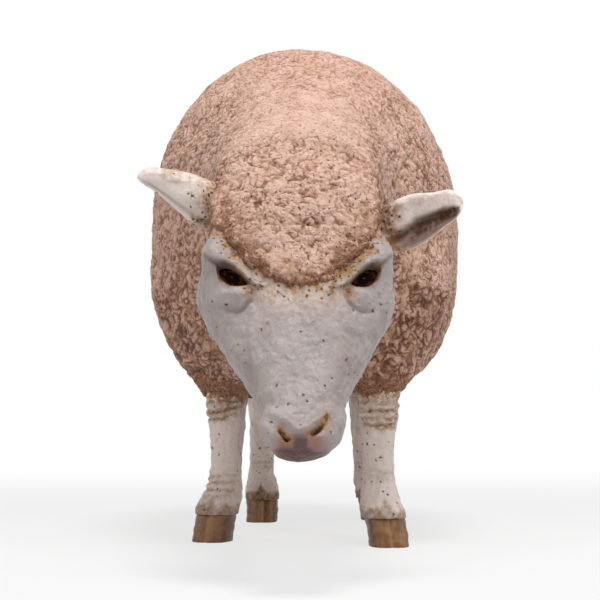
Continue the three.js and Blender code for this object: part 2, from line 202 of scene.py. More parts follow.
def axes_along(origin: list[float], third: list[float]) -> Axes:
    """Frame with the given origin and third axis, its first axis kept across the sheep.

    Args:
        origin: the frame's origin, mm.
        third: direction of its third axis.

    Returns:
        The frame.
    """
    h = unit(np.array(third, float))
    s = unit(np.array([1.0, 0.0, 0.0]) - h * h[0])
    return Axes(np.array(origin, float), np.stack([s, np.cross(h, s), h], 1))


class Profile:
    """Smooth curve through rows of place and values: a cubic between rows, with the mean slope at a row."""

    def __init__(self, rows: Rows, samples: int = 600) -> None:
        """Tabulates the curve.

        Args:
            rows: place and then the values, by rising place.
            samples: how many places it is tabulated at.
        """
        table = np.array(rows, float)
        place = table[:, 0]
        before = np.maximum(np.arange(len(place)) - 1, 0)
        after = np.minimum(np.arange(len(place)) + 1, len(place) - 1)
        slope = (table[after] - table[before]) / (place[after] - place[before])[:, None]
        self.places = np.linspace(place[0], place[-1], samples)
        i = np.clip(np.searchsorted(place, self.places) - 1, 0, len(place) - 2)
        step = (place[i + 1] - place[i])[:, None]
        u = (self.places - place[i])[:, None] / step
        ease = u * u * (3.0 - 2.0 * u)
        curve = table[i] + ease * (table[i + 1] - table[i])
        curve += u * (1.0 - u) ** 2 * step * slope[i] + u * u * (u - 1.0) * step * slope[i + 1]
        self.columns = curve[:, 1:].T

    def at(self, place: Array) -> list[Array]:
        """The curve's values at each place, held past the first and last rows."""
        return [np.interp(place, self.places, column) for column in self.columns]


@dataclass
class Stack:
    """Superelliptic sections along a frame's third axis, with round ends.

    A row is place, centre a and b, half width, half height above and below, and power above and below.
    A section is the curve where |a| to the power plus |b| to the power is 1 in those halves.
    """

    axes: Axes
    rows: Rows
    low_end: float  # how far the ends reach past the first and last rows, mm
    high_end: float

    def __post_init__(self) -> None:
        """Tabulates the rows."""
        self.profile = Profile(self.rows)

    def at(self, points: Array) -> Array:
        """Value of the stack: the superelliptic radius less 1, times the least half.

        Args:
            points: places, mm.

        Returns:
            The value at each place.
        """
        q = self.axes.local(points)
        a, b, wide, up, down, power_up, power_down = self.profile.at(q[:, 2])
        before, after = self.rows[0][0] - q[:, 2], q[:, 2] - self.rows[-1][0]
        past = np.where(after > 0, after / self.high_end, np.maximum(before, 0) / self.low_end)
        above = q[:, 1] > b
        power = np.where(above, power_up, power_down)
        across = np.abs(q[:, 0] - a) / wide
        high = np.abs(q[:, 1] - b) / np.where(above, up, down)
        ring = (across**power + high**power) ** (1.0 / power)
        return (np.hypot(ring, past) - 1.0) * np.minimum(np.minimum(wide, up), down)


@dataclass
class Egg:
    """An ellipsoid about a point of a frame, along its axes."""

    axes: Axes
    centre: Triple
    halves: Triple

    def at(self, points: Array) -> Array:
        """Value of the egg: its radius less 1, times the least half."""
        q = (self.axes.local(points) - np.array(self.centre)) / np.array(self.halves)
        return (np.sqrt(np.einsum("ij,ij->i", q, q)) - 1.0) * min(self.halves)


def soft_min(a: Array, b: Array, blend: float) -> Array:
    """Lesser of two fields, with a fillet about as wide as blend: less k squared times blend over 4."""
    k = np.maximum(blend - np.abs(a - b), 0.0) / blend
    return np.minimum(a, b) - k * k * blend / 4.0


def soft_max(a: Array, b: Array, blend: float) -> Array:
    """Greater of two fields, with the edge rounded over blend."""
    return -soft_min(-a, -b, blend)


@dataclass
class Part:
    """A form that is joined to another.

    Attributes:
        form: the form.
        blend: width of the fillet, mm.
        box: lowest and highest corner of the box outside which the form is left out, mm.
    """

    form: Form
    blend: float
    box: tuple[list[float], list[float]] | None = None


@dataclass
class Joined:
    """Soft union of a form with others, some of which matter only inside a box."""

    first: Form
    others: list[Part]

    def at(self, points: Array) -> Array:
        """Value of the union.

        Args:
            points: places, mm.

        Returns:
            The value at each place.
        """
        value = self.first.at(points)
        for part in self.others:
            low, high = part.box or (-np.inf, np.inf)
            near = np.all((points > low) & (points < high), axis=1)
            value[near] = soft_min(value[near], part.form.at(points[near]), part.blend)
        return value


@dataclass
class Grown:
    """A form grown all round by a depth, or shrunk where it is negative."""

    form: Form
    depth: float

    def at(self, points: Array) -> Array:
        """Value of the grown form."""
        return self.form.at(points) - self.depth


# ---- Nets laid over a form ----


SAMPLES = 4000  # places at which a changing spacing is summed
SHELF_WIDTHS = 24  # how many widths of shelf an unwrap tries


def graded(stops: list[tuple[float, float]]) -> Array:
    """Grid lines whose spacing changes along them.

    The count of lines is the integral of one over the spacing, and the lines stand at equal steps of it.

    Args:
        stops: place and spacing, by rising place, mm.

    Returns:
        The places of the lines, mm.
    """
    table = np.array(stops, float)
    x = np.linspace(table[0, 0], table[-1, 0], SAMPLES)
    rate = 1.0 / np.interp(x, table[:, 0], table[:, 1])
    count = np.concatenate([[0.0], np.cumsum((rate[1:] + rate[:-1]) / 2.0 * np.diff(x))])
    steps = max(int(round(count[-1])), 2)
    return np.interp(np.linspace(0.0, count[-1], steps + 1), count, x)


STEP = 0.5  # length of the differences that a gradient is taken over, mm
LEAST_SLOPE = 0.15  # gradients are taken to be at least this steep when points are settled


def slope_of(form: Form, points: Array, value: Array) -> Array:
    """Gradient of a form by forward differences."""
    return np.stack([(form.at(points + STEP * axis) - value) / STEP for axis in np.eye(3)], 1)


def settled(form: Form, points: Array, reach: float, rounds: int = 1) -> Array:
    """Points moved onto a form's surface along its gradient, by the value over the slope.

    Args:
        form: the form.
        points: places in mm.
        reach: furthest that a point moves in one round, mm.
        rounds: how many times they move.

    Returns:
        The moved points.
    """

    def step(p: Array) -> Array:
        """One round of it.

        Args:
            p: the points, mm.

        Returns:
            The moved points.
        """
        value = form.at(p)
        slope = slope_of(form, p, value)
        steep = np.maximum(np.linalg.norm(slope, axis=1), LEAST_SLOPE)
        return p - slope * (np.clip(value / steep, -reach, reach) / steep)[:, None]

    for _ in range(rounds):
        points = shared(step, points)
    return points


@dataclass
class Net:
    """Quads over a form.

    Attributes:
        points: places in mm, one row each.
        quads: four points of each quad, anticlockwise from outside.
    """

    points: Array
    quads: Array

    def middles(self) -> Array:
        """Middle of each quad."""
        return self.points[self.quads].mean(axis=1)

    def normals(self) -> Array:
        """Unit normal of each quad: the cross product of its diagonals."""
        a, b, c, d = (self.points[self.quads[:, k]] for k in range(4))
        return unit(np.cross(c - a, d - b))

    def evened(self, form: Form, rounds: int) -> "Net":
        """The net with each point drawn half way to the mean of its neighbours and settled again.

        Args:
            form: the form that the net lies on.
            rounds: how many times it is done.

        Returns:
            The evened net.
        """
        ends = np.concatenate([self.quads[:, [k, (k + 1) % 4]] for k in range(4)])
        ends = np.concatenate([ends, ends[:, ::-1]])
        count = np.maximum(np.bincount(ends[:, 0], minlength=len(self.points)), 1)
        points = self.points
        for _ in range(rounds):
            sums = [np.bincount(ends[:, 0], points[ends[:, 1], k], len(points)) for k in range(3)]
            points = settled(form, (points + np.stack(sums, 1) / count[:, None]) / 2.0, reach=4.0)
        return Net(points, self.quads)


def net_over(form: Form, lines: list[Array]) -> Net:
    """Surface nets: a point in each grid cell that the surface crosses, and a quad across each crossed edge.

    A point is the mean of the places where the surface crosses its cell's edges.

    Args:
        form: the form, which lies wholly inside the grid.
        lines: the grid's x, y and z lines, mm.

    Returns:
        The net.
    """
    size = [len(line) for line in lines]
    nodes = np.stack(np.meshgrid(*lines, indexing="ij"), -1).reshape(-1, 3)
    value = shared(form.at, nodes).reshape(size)
    inside = value < 0
    corners = [(a, b, c) for a in (0, 1) for b in (0, 1) for c in (0, 1)]

    def cut(grid: Array, corner: tuple[int, int, int]) -> Array:
        """What stands at one corner of each cell."""
        return grid[tuple(slice(k, n - 1 + k) for k, n in zip(corner, size))]

    count = sum(cut(inside, corner).astype(int) for corner in corners)
    cell = np.argwhere((count > 0) & (count < 8))
    number = np.full([n - 1 for n in size], -1)
    number[tuple(cell.T)] = np.arange(len(cell))
    total = np.zeros((len(cell), 3))
    crossings = np.zeros(len(cell))
    at = {corner: value[tuple((cell + corner).T)] for corner in corners}
    for corner in corners:
        for axis in range(3):
            if corner[axis]:
                continue
            other = tuple(1 if k == axis else corner[k] for k in range(3))
            crossed = (at[corner] < 0) != (at[other] < 0)
            share = at[corner] / np.where(crossed, at[corner] - at[other], 1.0)
            place = np.tile(np.array(corner, float), (len(cell), 1))
            place[:, axis] = share
            total += place * crossed[:, None]
            crossings += crossed
    middle = total / crossings[:, None]
    low = np.stack([lines[k][cell[:, k]] for k in range(3)], 1)
    high = np.stack([lines[k][cell[:, k] + 1] for k in range(3)], 1)
    quads = []
    for axis in range(3):
        b, c = (axis + 1) % 3, (axis + 2) % 3
        near = [slice(None)] * 3
        far = [slice(None)] * 3
        near[axis], far[axis] = slice(0, size[axis] - 1), slice(1, size[axis])
        start = inside[tuple(near)]
        edge = np.argwhere(start != inside[tuple(far)])
        keep = np.all([(edge[:, k] > 0) & (edge[:, k] < size[k] - 1) for k in (b, c)], axis=0)
        edge = edge[keep]
        ring = []
        for back_b, back_c in ((1, 1), (0, 1), (0, 0), (1, 0)):
            place = edge.copy()
            place[:, b] -= back_b
            place[:, c] -= back_c
            ring.append(number[tuple(place.T)])
        ring = np.stack(ring, 1)
        outward = start[tuple(edge.T)]
        quads.append(np.where(outward[:, None], ring, ring[:, ::-1]))
    return Net(low + middle * (high - low), np.concatenate(quads))


class FineNet:
    """A net with some of its quads divided n by n. Neighbours share the points along their common edge.

    Attributes:
        net: the coarse net.
        n: how many parts a side is divided into.
        chosen: which quads are divided.
        points: coarse points, then those along edges, then those inside quads.
        grids: for each divided quad, its (n + 1) by (n + 1) points.
        side_edges: the edge at each side of each quad.
        along: the points inside each edge, from its lower-numbered end, or -1.
    """

    def __init__(self, net: Net, n: int, chosen: Array) -> None:
        """Divides the chosen quads, with new points spread evenly between the old.

        Args:
            net: the coarse net.
            n: how many parts a side is divided into.
            chosen: one true or false for each quad.
        """
        self.net, self.n, self.chosen = net, n, chosen
        ends = np.stack([net.quads, np.roll(net.quads, -1, axis=1)], -1)
        self.forward = ends[..., 0] < ends[..., 1]
        key = ends.min(-1).astype(np.int64) * len(net.points) + ends.max(-1)
        edges, side = np.unique(key, return_inverse=True)
        self.side_edges = side.reshape(key.shape)
        low, high = edges // len(net.points), edges % len(net.points)
        used = np.zeros(len(edges), bool)
        used[self.side_edges[chosen].ravel()] = True
        self.along = np.full((len(edges), n - 1), -1)
        first = len(net.points)
        self.along[used] = first + np.arange(used.sum() * (n - 1)).reshape(-1, n - 1)
        share = (np.arange(1, n) / n)[None, :, None]
        edge_points = net.points[low[used]][:, None] * (1 - share) + net.points[high[used]][:, None] * share
        first += used.sum() * (n - 1)
        quads = net.quads[chosen]
        count = len(quads)
        inner = first + np.arange(count * (n - 1) ** 2).reshape(count, n - 1, n - 1)
        u, v = np.meshgrid(np.arange(1, n) / n, np.arange(1, n) / n, indexing="ij")
        p = net.points[quads][:, :, None, None, :]
        u, v = u[None, :, :, None], v[None, :, :, None]
        inside = p[:, 0] * (1 - u) * (1 - v) + p[:, 1] * u * (1 - v) + p[:, 2] * u * v + p[:, 3] * (1 - u) * v
        self.points = np.concatenate([net.points, edge_points.reshape(-1, 3), inside.reshape(-1, 3)])
        grids = np.empty((count, n + 1, n + 1), int)
        grids[:, 1:-1, 1:-1] = inner
        grids[:, 0, 0], grids[:, n, 0], grids[:, n, n], grids[:, 0, n] = quads.T
        grids[:, 1:-1, 0] = self.side_points(chosen, 0)
        grids[:, n, 1:-1] = self.side_points(chosen, 1)
        grids[:, 1:-1, n] = self.side_points(chosen, 2)[:, ::-1]
        grids[:, 0, 1:-1] = self.side_points(chosen, 3)[:, ::-1]
        self.grids = grids

    def side_points(self, quads: Array, side: int) -> Array:
        """Points inside one side, 0 to 3, of some quads, in the quad's direction, or -1 if undivided."""
        row = self.along[self.side_edges[quads, side]]
        return np.where(self.forward[quads, side][:, None], row, row[:, ::-1])

    def fine_quads(self, pick: Array | slice = slice(None)) -> Array:
        """The small quads of some divided quads, one row of four points each."""
        g = self.grids[pick]
        return np.stack([g[:, :-1, :-1], g[:, 1:, :-1], g[:, 1:, 1:], g[:, :-1, 1:]], -1).reshape(-1, 4)

    def whole_faces(self) -> tuple[Array, Array]:
        """Faces of the quads left whole, which take in the points of any divided neighbour.

        Returns:
            All the corners in a row, and how many each face has.
        """
        rest = ~self.chosen
        rows = np.full((rest.sum(), 4, self.n), -1)
        rows[:, :, 0] = self.net.quads[rest]
        for side in range(4):
            rows[:, side, 1:] = self.side_points(rest, side)
        rows = rows.reshape(len(rows), -1)
        return rows[rows >= 0], (rows >= 0).sum(axis=1)


def corner_normals(points: Array, quads: Array) -> Array:
    """Unit normal at each point: the sum of the cross products of the diagonals of the quads round it.

    Args:
        points: places.
        quads: four points of each quad.

    Returns:
        One normal for each point.
    """
    a, b, c, d = (points[quads[:, k]] for k in range(4))
    face = np.cross(c - a, d - b)
    flat = quads.ravel()
    rows = np.repeat(face, 4, axis=0)
    return unit(np.stack([np.bincount(flat, rows[:, k], len(points)) for k in range(3)], 1))


# ---- Meshes ----


PATCH_GAP = 0.006  # space kept between the patches of an unwrap, as a share of its side


def placed(name: str, data: bpy.types.ID) -> Object:
    """A new object in the scene, at the origin.

    Args:
        name: the object's name.
        data: its mesh, lamp or camera.

    Returns:
        The object.
    """
    made = bpy.data.objects.new(name, data)
    bpy.context.scene.collection.objects.link(made)
    return made


@dataclass
class Shape:
    """A mesh in the making.

    Attributes:
        points: places, mm.
        corners: point at each corner of each face, in a row.
        counts: how many corners each face has.
        chart: for each face, the number of the flat patch that it is laid on in the unwrap.
        marks: named values for each point, which the finishes read.
        normals: unit normals for each point, where the mesh's own aren't right.
        flat: for each corner, its place on its patch, mm.
        weight: for each patch, how much of the unwrap it is given beside its size.
    """

    points: Array
    corners: Array
    counts: Array
    chart: Array
    flat: Array
    weight: Array
    marks: Marks = field(default_factory=dict)
    normals: Array | None = None

    @staticmethod
    def merged(shapes: list["Shape"]) -> "Shape":
        """Several shapes as one, each on patches of its own.

        Args:
            shapes: the shapes, which carry the same marks.

        Returns:
            One shape.
        """
        starts = np.cumsum([0] + [len(s.points) for s in shapes[:-1]])
        patches = np.cumsum([0] + [len(s.weight) for s in shapes[:-1]])
        same = ("points", "counts", "flat", "weight")
        points, counts, flat, weight = (np.concatenate([getattr(s, name) for s in shapes]) for name in same)
        corners = np.concatenate([s.corners + start for s, start in zip(shapes, starts)])
        chart = np.concatenate([s.chart + start for s, start in zip(shapes, patches)])
        marks = {name: np.concatenate([s.marks[name] for s in shapes]) for name in shapes[0].marks}
        return Shape(points, corners, counts, chart, flat, weight, marks)

    def unwrap(self) -> Array:
        """Unwrap of the shape: its patches side by side on shelves in a unit square, with gaps between.

        Returns:
            One place in the square for each corner.
        """
        patch = np.repeat(self.chart, self.counts)
        total = len(self.weight)
        low = np.full((total, 2), np.inf)
        high = np.full((total, 2), -np.inf)
        np.minimum.at(low, patch, self.flat)
        np.maximum.at(high, patch, self.flat)
        used = np.isfinite(low[:, 0])
        size = np.where(used[:, None], (high - low) * self.weight[:, None], 0.0)
        gap = PATCH_GAP * math.sqrt(float(np.prod(size, axis=1).sum()))
        order = np.argsort(-size[:, 1])
        worst, best = math.inf, np.zeros((total, 2))
        for width in np.linspace(size[:, 0].max(), size[:, 0].sum(), SHELF_WIDTHS) + gap:
            place = np.zeros((total, 2))
            x = y = shelf = reach = 0.0
            for k in order[used[order]]:
                if x > 0 and x + size[k, 0] > width:
                    x, y, shelf = 0.0, y + shelf + gap, 0.0
                place[k] = x, y
                x += size[k, 0] + gap
                shelf = max(shelf, size[k, 1])
                reach = max(reach, x)
            if max(reach, y + shelf) < worst:
                worst, best = max(reach, y + shelf), place
        where = best[patch] + (self.flat - low[patch]) * self.weight[patch][:, None]
        return PATCH_GAP / 2.0 + (1.0 - PATCH_GAP) * where / worst

    def piece(self, name: str, finish: Material) -> Object:
        """Makes the object, rides it on the one body and gives it its finish.

        Args:
            name: the piece's name.
            finish: its material.

        Returns:
            The object, at the origin.
        """
        mesh = bpy.data.meshes.new(name)
        mesh.vertices.add(len(self.points))
        mesh.vertices.foreach_set("co", in_metres(self.points).astype(np.float32).ravel())
        mesh.loops.add(len(self.corners))
        mesh.loops.foreach_set("vertex_index", self.corners.astype(np.int32))
        mesh.polygons.add(len(self.counts))
        starts = np.concatenate([[0], np.cumsum(self.counts)[:-1]])
        mesh.polygons.foreach_set("loop_start", starts.astype(np.int32))
        mesh.polygons.foreach_set("use_smooth", np.ones(len(self.counts), bool))
        mesh.update(calc_edges=True)
        for mark, values in self.marks.items():
            layer = mesh.attributes.new(mark, "FLOAT", "POINT")
            layer.data.foreach_set("value", values.astype(np.float32))
        mesh.uv_layers.new(name="OFBake").uv.foreach_set("vector", self.unwrap().astype(np.float32).ravel())
        mesh.materials.append(finish)
        if self.normals is not None:
            mesh.normals_split_custom_set_from_vertices(self.normals.astype(np.float32))
        made = placed(name, mesh)
        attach(made, BODY)
        LOG.info("%s: %d points, %d triangles", name, len(self.points), (self.counts - 2).sum())
        return made


def heighten(marks: Marks, **values: Array) -> None:
    """Raises some marks to other values where those are greater."""
    for name, others in values.items():
        marks[name] = np.maximum(marks[name], others)


def facing(normals: Array) -> Array:
    """Number of the side of a box that each normal faces most: 0 to 5 for +x, -x, +y, -y, +z, -z."""
    axis = np.abs(normals).argmax(axis=1)
    return axis * 2 + (normals[np.arange(len(axis)), axis] < 0)


def laid_flat(points: Array, side: Array) -> Array:
    """Points laid on the side of a box that they face: the two coordinates across it.

    Args:
        points: places, mm.
        side: number of the side for each place.

    Returns:
        Two coordinates for each place, mm.
    """
    axis = side // 2
    first = np.where(axis == 0, 1, 0)
    second = np.where(axis == 2, 1, 2)
    row = np.arange(len(points))
    return np.stack([points[row, first], points[row, second]], 1)


def over_grid(points: Array, size: float, seed: int) -> Array:
    """Noise at each point of a (rings, steps, 3) grid, with the size and seed of swell."""
    return swell(points.reshape(-1, 3), size, seed).reshape(points.shape[:-1])


def grid_shape(points: Array, marks: Marks, weight: float = 1.0) -> Shape:
    """Closed shape from rings of points, with a cap at each end.

    Args:
        points: (rings, steps, 3) places, mm. The rings run anticlockwise seen from the last ring.
        marks: named (rings, steps) values.
        weight: how much of the unwrap it is given beside its size.

    Returns:
        The shape, unwrapped by arc length along and round it.
    """
    rings, steps, _ = points.shape
    number = np.arange(rings * steps).reshape(rings, steps)
    after = np.roll(number, -1, axis=1)
    quads = np.stack([number[:-1], after[:-1], after[1:], number[1:]], -1).reshape(-1, 4)
    girth = np.linalg.norm(np.roll(points, -1, axis=1) - points, axis=2).sum(axis=1).max()
    step = np.linalg.norm(np.diff(points, axis=0), axis=2).mean(axis=1)
    across, along = np.meshgrid(np.linspace(0.0, girth, steps + 1), np.concatenate([[0.0], np.cumsum(step)]))
    flat = np.stack([across, along], -1)
    laid = np.stack([flat[:-1, :-1], flat[:-1, 1:], flat[1:, 1:], flat[1:, :-1]], 2).reshape(-1, 2)
    ends = [number[0, ::-1], number[-1]]
    every = points.reshape(-1, 3)
    return Shape(
        points=every,
        corners=np.concatenate([quads.ravel(), *ends]),
        counts=np.concatenate([np.full(len(quads), 4), [steps, steps]]),
        chart=np.concatenate([np.zeros(len(quads), int), [1, 2]]),
        flat=np.concatenate([laid, *(laid_flat(every[ring], np.full(steps, 4)) for ring in ends)]),
        weight=np.full(3, weight),
        marks={name: values.ravel() for name, values in marks.items()},
    )


# ---- The sheep's forms ----


class Side(Enum):
    """Side of the sheep, as the sign of x."""

    LEFT = 1
    RIGHT = -1


@dataclass(frozen=True)
class LegPlan:
    """Where a leg stands.

    Attributes:
        name: the leg's name.
        fore: true for a foreleg.
        side: side of the sheep.
        x: x of its cannon's upright line, mm.
        y: y of that line, mm.
        toe_out: how far the foot turns out, degrees.
        pastern: how far out from that line the pastern stands, mm.
        sole: how far out the sole stands, mm.
        hem: height where the wool ends, mm.
    """

    name: str
    fore: bool
    side: Side
    x: float
    y: float
    toe_out: float
    pastern: float
    sole: float
    hem: float


LEGS = (
    LegPlan("fore_left", True, Side.LEFT, 100, 46, 6, 2, 7, 191),
    LegPlan("fore_right", True, Side.RIGHT, -97, 116, 20, 4, 7, 191),
    LegPlan("hind_left", False, Side.LEFT, 107, 535, 6, 9, 13, 212),
    LegPlan("hind_right", False, Side.RIGHT, -62, 490, 4, -3, -4, 212),
)

POLL = np.array([-4.0, -344.0, 405.0])  # top of the head, where the head frame has its origin
CORONET = 42.0  # height where a hoof meets its pastern


Row = list[float]


def oval(place: float, a: float, b: float, wide: float, deep: float) -> Row:
    """Row of a plain stack: the same half depth and power on both sides."""
    return [place, a, b, wide, deep, deep, 2.2, 2.2]


def leg_axes(leg: LegPlan) -> Axes:
    """Upright frame on a leg's cannon, turned out by its toe angle: third axis up, second axis back.

    Args:
        leg: which leg.

    Returns:
        The frame.
    """
    turn = math.radians(leg.toe_out) * leg.side.value
    c, s = math.cos(turn), math.sin(turn)
    return Axes(np.array([leg.x, leg.y, 0.0]), np.array([[c, -s, 0.0], [s, c, 0.0], [0.0, 0.0, 1.0]]))


def leg_rows(leg: LegPlan) -> list[Row]:
    """A leg's sections by height: out to the side, back, half width and half depth.

    Args:
        leg: which leg.

    Returns:
        The rows of its stack.
    """
    out, pastern = leg.side.value, leg.pastern
    if leg.fore:
        return [
            oval(30, (pastern + 1) * out, -24, 25, 27),
            oval(45, pastern * out, -18, 27, 30),
            oval(60, pastern * 0.6 * out, -8, 24.5, 28),
            oval(78, pastern * 0.2 * out, -2, 21.5, 24),
            oval(110, 0, 0, 20.5, 22),
            oval(140, 0, 0, 22, 24),
            oval(165, 0, -2, 24.5, 27),
            oval(190, out, 2, 27, 30),
            oval(225, 8 * out, 8, 40, 46),
            oval(320, 26 * out, 14, 66, 88),
        ]
    return [
        oval(30, pastern * out, -22, 25, 27),
        oval(45, pastern * out, -17, 27, 30),
        oval(60, pastern * 0.6 * out, -6, 24, 27),
        oval(80, pastern * 0.2 * out, -2, 20.5, 23),
        oval(130, 0, 2, 20.5, 23),
        oval(175, 0, 10, 22, 29),
        oval(212, 2 * out, 14, 26, 38),
        oval(245, 6 * out, 4, 33, 46),
        oval(300, 18 * out, -28, 52, 80),
        oval(380, 32 * out, -64, 74, 116),
    ]


def head_axes() -> Axes:
    """Head frame: s to the sheep's left, n out of the forehead, h from the poll down the face.

    Returns:
        The frame.
    """
    slope, turn = math.radians(28), math.radians(3)
    level = axes_along([0, 0, 0], [0, -math.sin(slope), -math.cos(slope)])
    c, s = math.cos(turn), math.sin(turn)
    return Axes(POLL, np.array([[c, -s, 0.0], [s, c, 0.0], [0.0, 0.0, 1.0]]) @ level.turn)


HEAD = head_axes()


def trunk_form() -> Form:
    """Trunk: sections from the rump to the chest, level.

    Returns:
        The form.
    """
    rows = [
        [0, 0, 462, 166, 182, 180, 2.15, 2.4],
        [70, 0, 446, 199, 216, 212, 2.12, 2.7],
        [160, 2, 434, 218, 237, 230, 2.1, 2.95],
        [280, 2, 426, 221, 247, 235, 2.1, 3],
        [400, 2, 424, 207, 242, 234, 2.1, 3],
        [490, 1, 422, 186, 221, 227, 2.05, 2.85],
        [570, 0, 414, 150, 180, 194, 2.1, 2.4],
        [640, 0, 402, 104, 130, 140, 2.1, 2.1],
    ]
    return Stack(axes_along([18, 540, 0], [-0.042, -1, 0]), rows, 72, 58)


def neck_form() -> Form:
    """Neck: from inside the shoulders down to the poll.

    Returns:
        The form.
    """
    root, poll = np.array([0.0, 60.0, 488.0]), np.array([-4.0, -318.0, 372.0])
    rows = [
        [0, 0, 0, 124, 136, 160, 2.1, 2.1],
        [130, 0, 0, 110, 117, 136, 2.1, 2.1],
        [260, 0, 0, 94, 94, 108, 2.1, 2.1],
        [380, 0, 0, 82, 74, 82, 2.1, 2.1],
    ]
    return Stack(axes_along(root.tolist(), (poll - root).tolist()), rows, 40, 36)


def tail_form() -> Form:
    """Tail: a short woolly stump that hangs close to the rump."""
    rows = [oval(0, 0, 0, 32, 28), oval(80, 0, 0, 33, 26), oval(160, 0, 0, 24, 19)]
    return Stack(axes_along([20, 604, 566], [0, 0.1, -1]), rows, 26, 22)


def head_form() -> Form:
    """Skull, cheeks and muzzle, with the brows, cheek bones and nostril wings.

    Returns:
        The form.
    """
    rows = [
        [36, 0, -52, 70, 52, 58, 2.1, 2.1],
        [70, 0, -50, 82, 54, 66, 2.1, 2.1],
        [100, 0, -49, 92, 56, 72, 2.2, 2.1],
        [130, 0, -47, 96, 53, 72, 2.15, 2.1],
        [163, 0, -43, 82, 47, 68, 2.0, 2.1],
        [203, 0.5, -38, 63.5, 41, 56, 2.0, 2.1],
        [238, 1, -32, 45.5, 34, 46, 2.1, 2.1],
        [262, 1.5, -27, 37.5, 28, 40, 2.2, 2.1],
        [282, 1, -22, 36.5, 24, 36, 2.2, 2.2],
        [296, -1.5, -19, 30, 21, 26, 2.2, 2.2],
    ]
    parts = []
    for side in Side:
        parts.append(Part(Egg(HEAD, (70 * side.value, -14, 98), (20, 16, 26)), 16))
        parts.append(Part(Egg(HEAD, (70 * side.value, -38, 138), (16, 22, 32)), 12))
        parts.append(Part(Egg(HEAD, (21 * side.value - 1, -11, 289), (15, 11, 17)), 10))
    return Joined(Stack(HEAD, rows, 30, 17), parts)


def crown_form() -> Form:
    """Crown of wool between the ears, which ends in a blunt edge over the forehead."""
    return Egg(HEAD, (0, -38, 50), (84, 58, 96))


HEAD_BOX = ([-190, -560, 60], [190, -180, 560])
NECK_BOX = ([-190, -420, 200], [190, 170, 700])
TAIL_BOX = ([-60, 540, 340], [110, 700, 640])


@dataclass(frozen=True)
class EarPlan:
    """An ear, by the places of its upper and lower edges from root to tip.

    A row is share of the length, upper edge x, y and z, lower edge x, y and z, half thickness, and how far
    the middle bows forward of the edges.
    """

    side: Side
    rows: Rows
    blunt: float = 0.85  # share of the length where the end begins to round off

    def sections(self, share: Array) -> tuple[Array, Array, Array, Array]:
        """Sections at each share of the length.

        Args:
            share: 0 at the root to 1 at the tip.

        Returns:
            Middle, half chord from the lower to the upper edge, half thickness and bow.
        """
        values = np.stack(Profile(self.rows).at(share), 1)
        upper, lower, thick, bow = values[:, 0:3], values[:, 3:6], values[:, 6:7], values[:, 7:8]
        past = np.clip((share - self.blunt) / (1.0 - self.blunt), 0, 1)
        round_off = np.sqrt(np.maximum(1.0 - past**2, 0.0))[:, None]
        return (upper + lower) / 2, (upper - lower) / 2 * round_off, thick * round_off, bow


EAR_LEFT = EarPlan(
    Side.LEFT,
    (
        (0.00, 62, -316, 358, 66, -312, 318, 11, -4),
        (0.20, 87, -324, 368, 93, -318, 323, 9, -5),
        (0.35, 100, -330, 375, 104, -325, 322, 8, -6),
        (0.50, 114, -335, 379, 119, -330, 327, 7.5, -7),
        (0.70, 133, -342, 379, 136, -337, 338, 7, -6),
        (0.85, 147, -346, 381, 148, -343, 347, 6.5, -4),
        (1.00, 161, -350, 380, 162, -348, 353, 5, -2),
    ),
)
EAR_RIGHT = EarPlan(
    Side.RIGHT,
    (
        (0.00, -60, -316, 386, -64, -312, 338, 13, 5),
        (0.20, -88, -328, 392.5, -91, -318, 345, 13, 6),
        (0.32, -101, -335, 396.5, -104, -326, 346, 12, 7),
        (0.45, -114, -340, 400, -117, -333, 357, 10.5, 6),
        (0.65, -134, -345, 402.5, -135, -340, 372, 8.5, 4),
        (0.85, -150, -348, 403.5, -150, -346, 383, 7.5, 2),
        (1.00, -161.5, -350, 400, -161.5, -349, 387, 6.5, 1),
    ),
)
EAR_ROOTS = ((84.0, -322.0, 346.0), (-82.0, -322.0, 368.0))


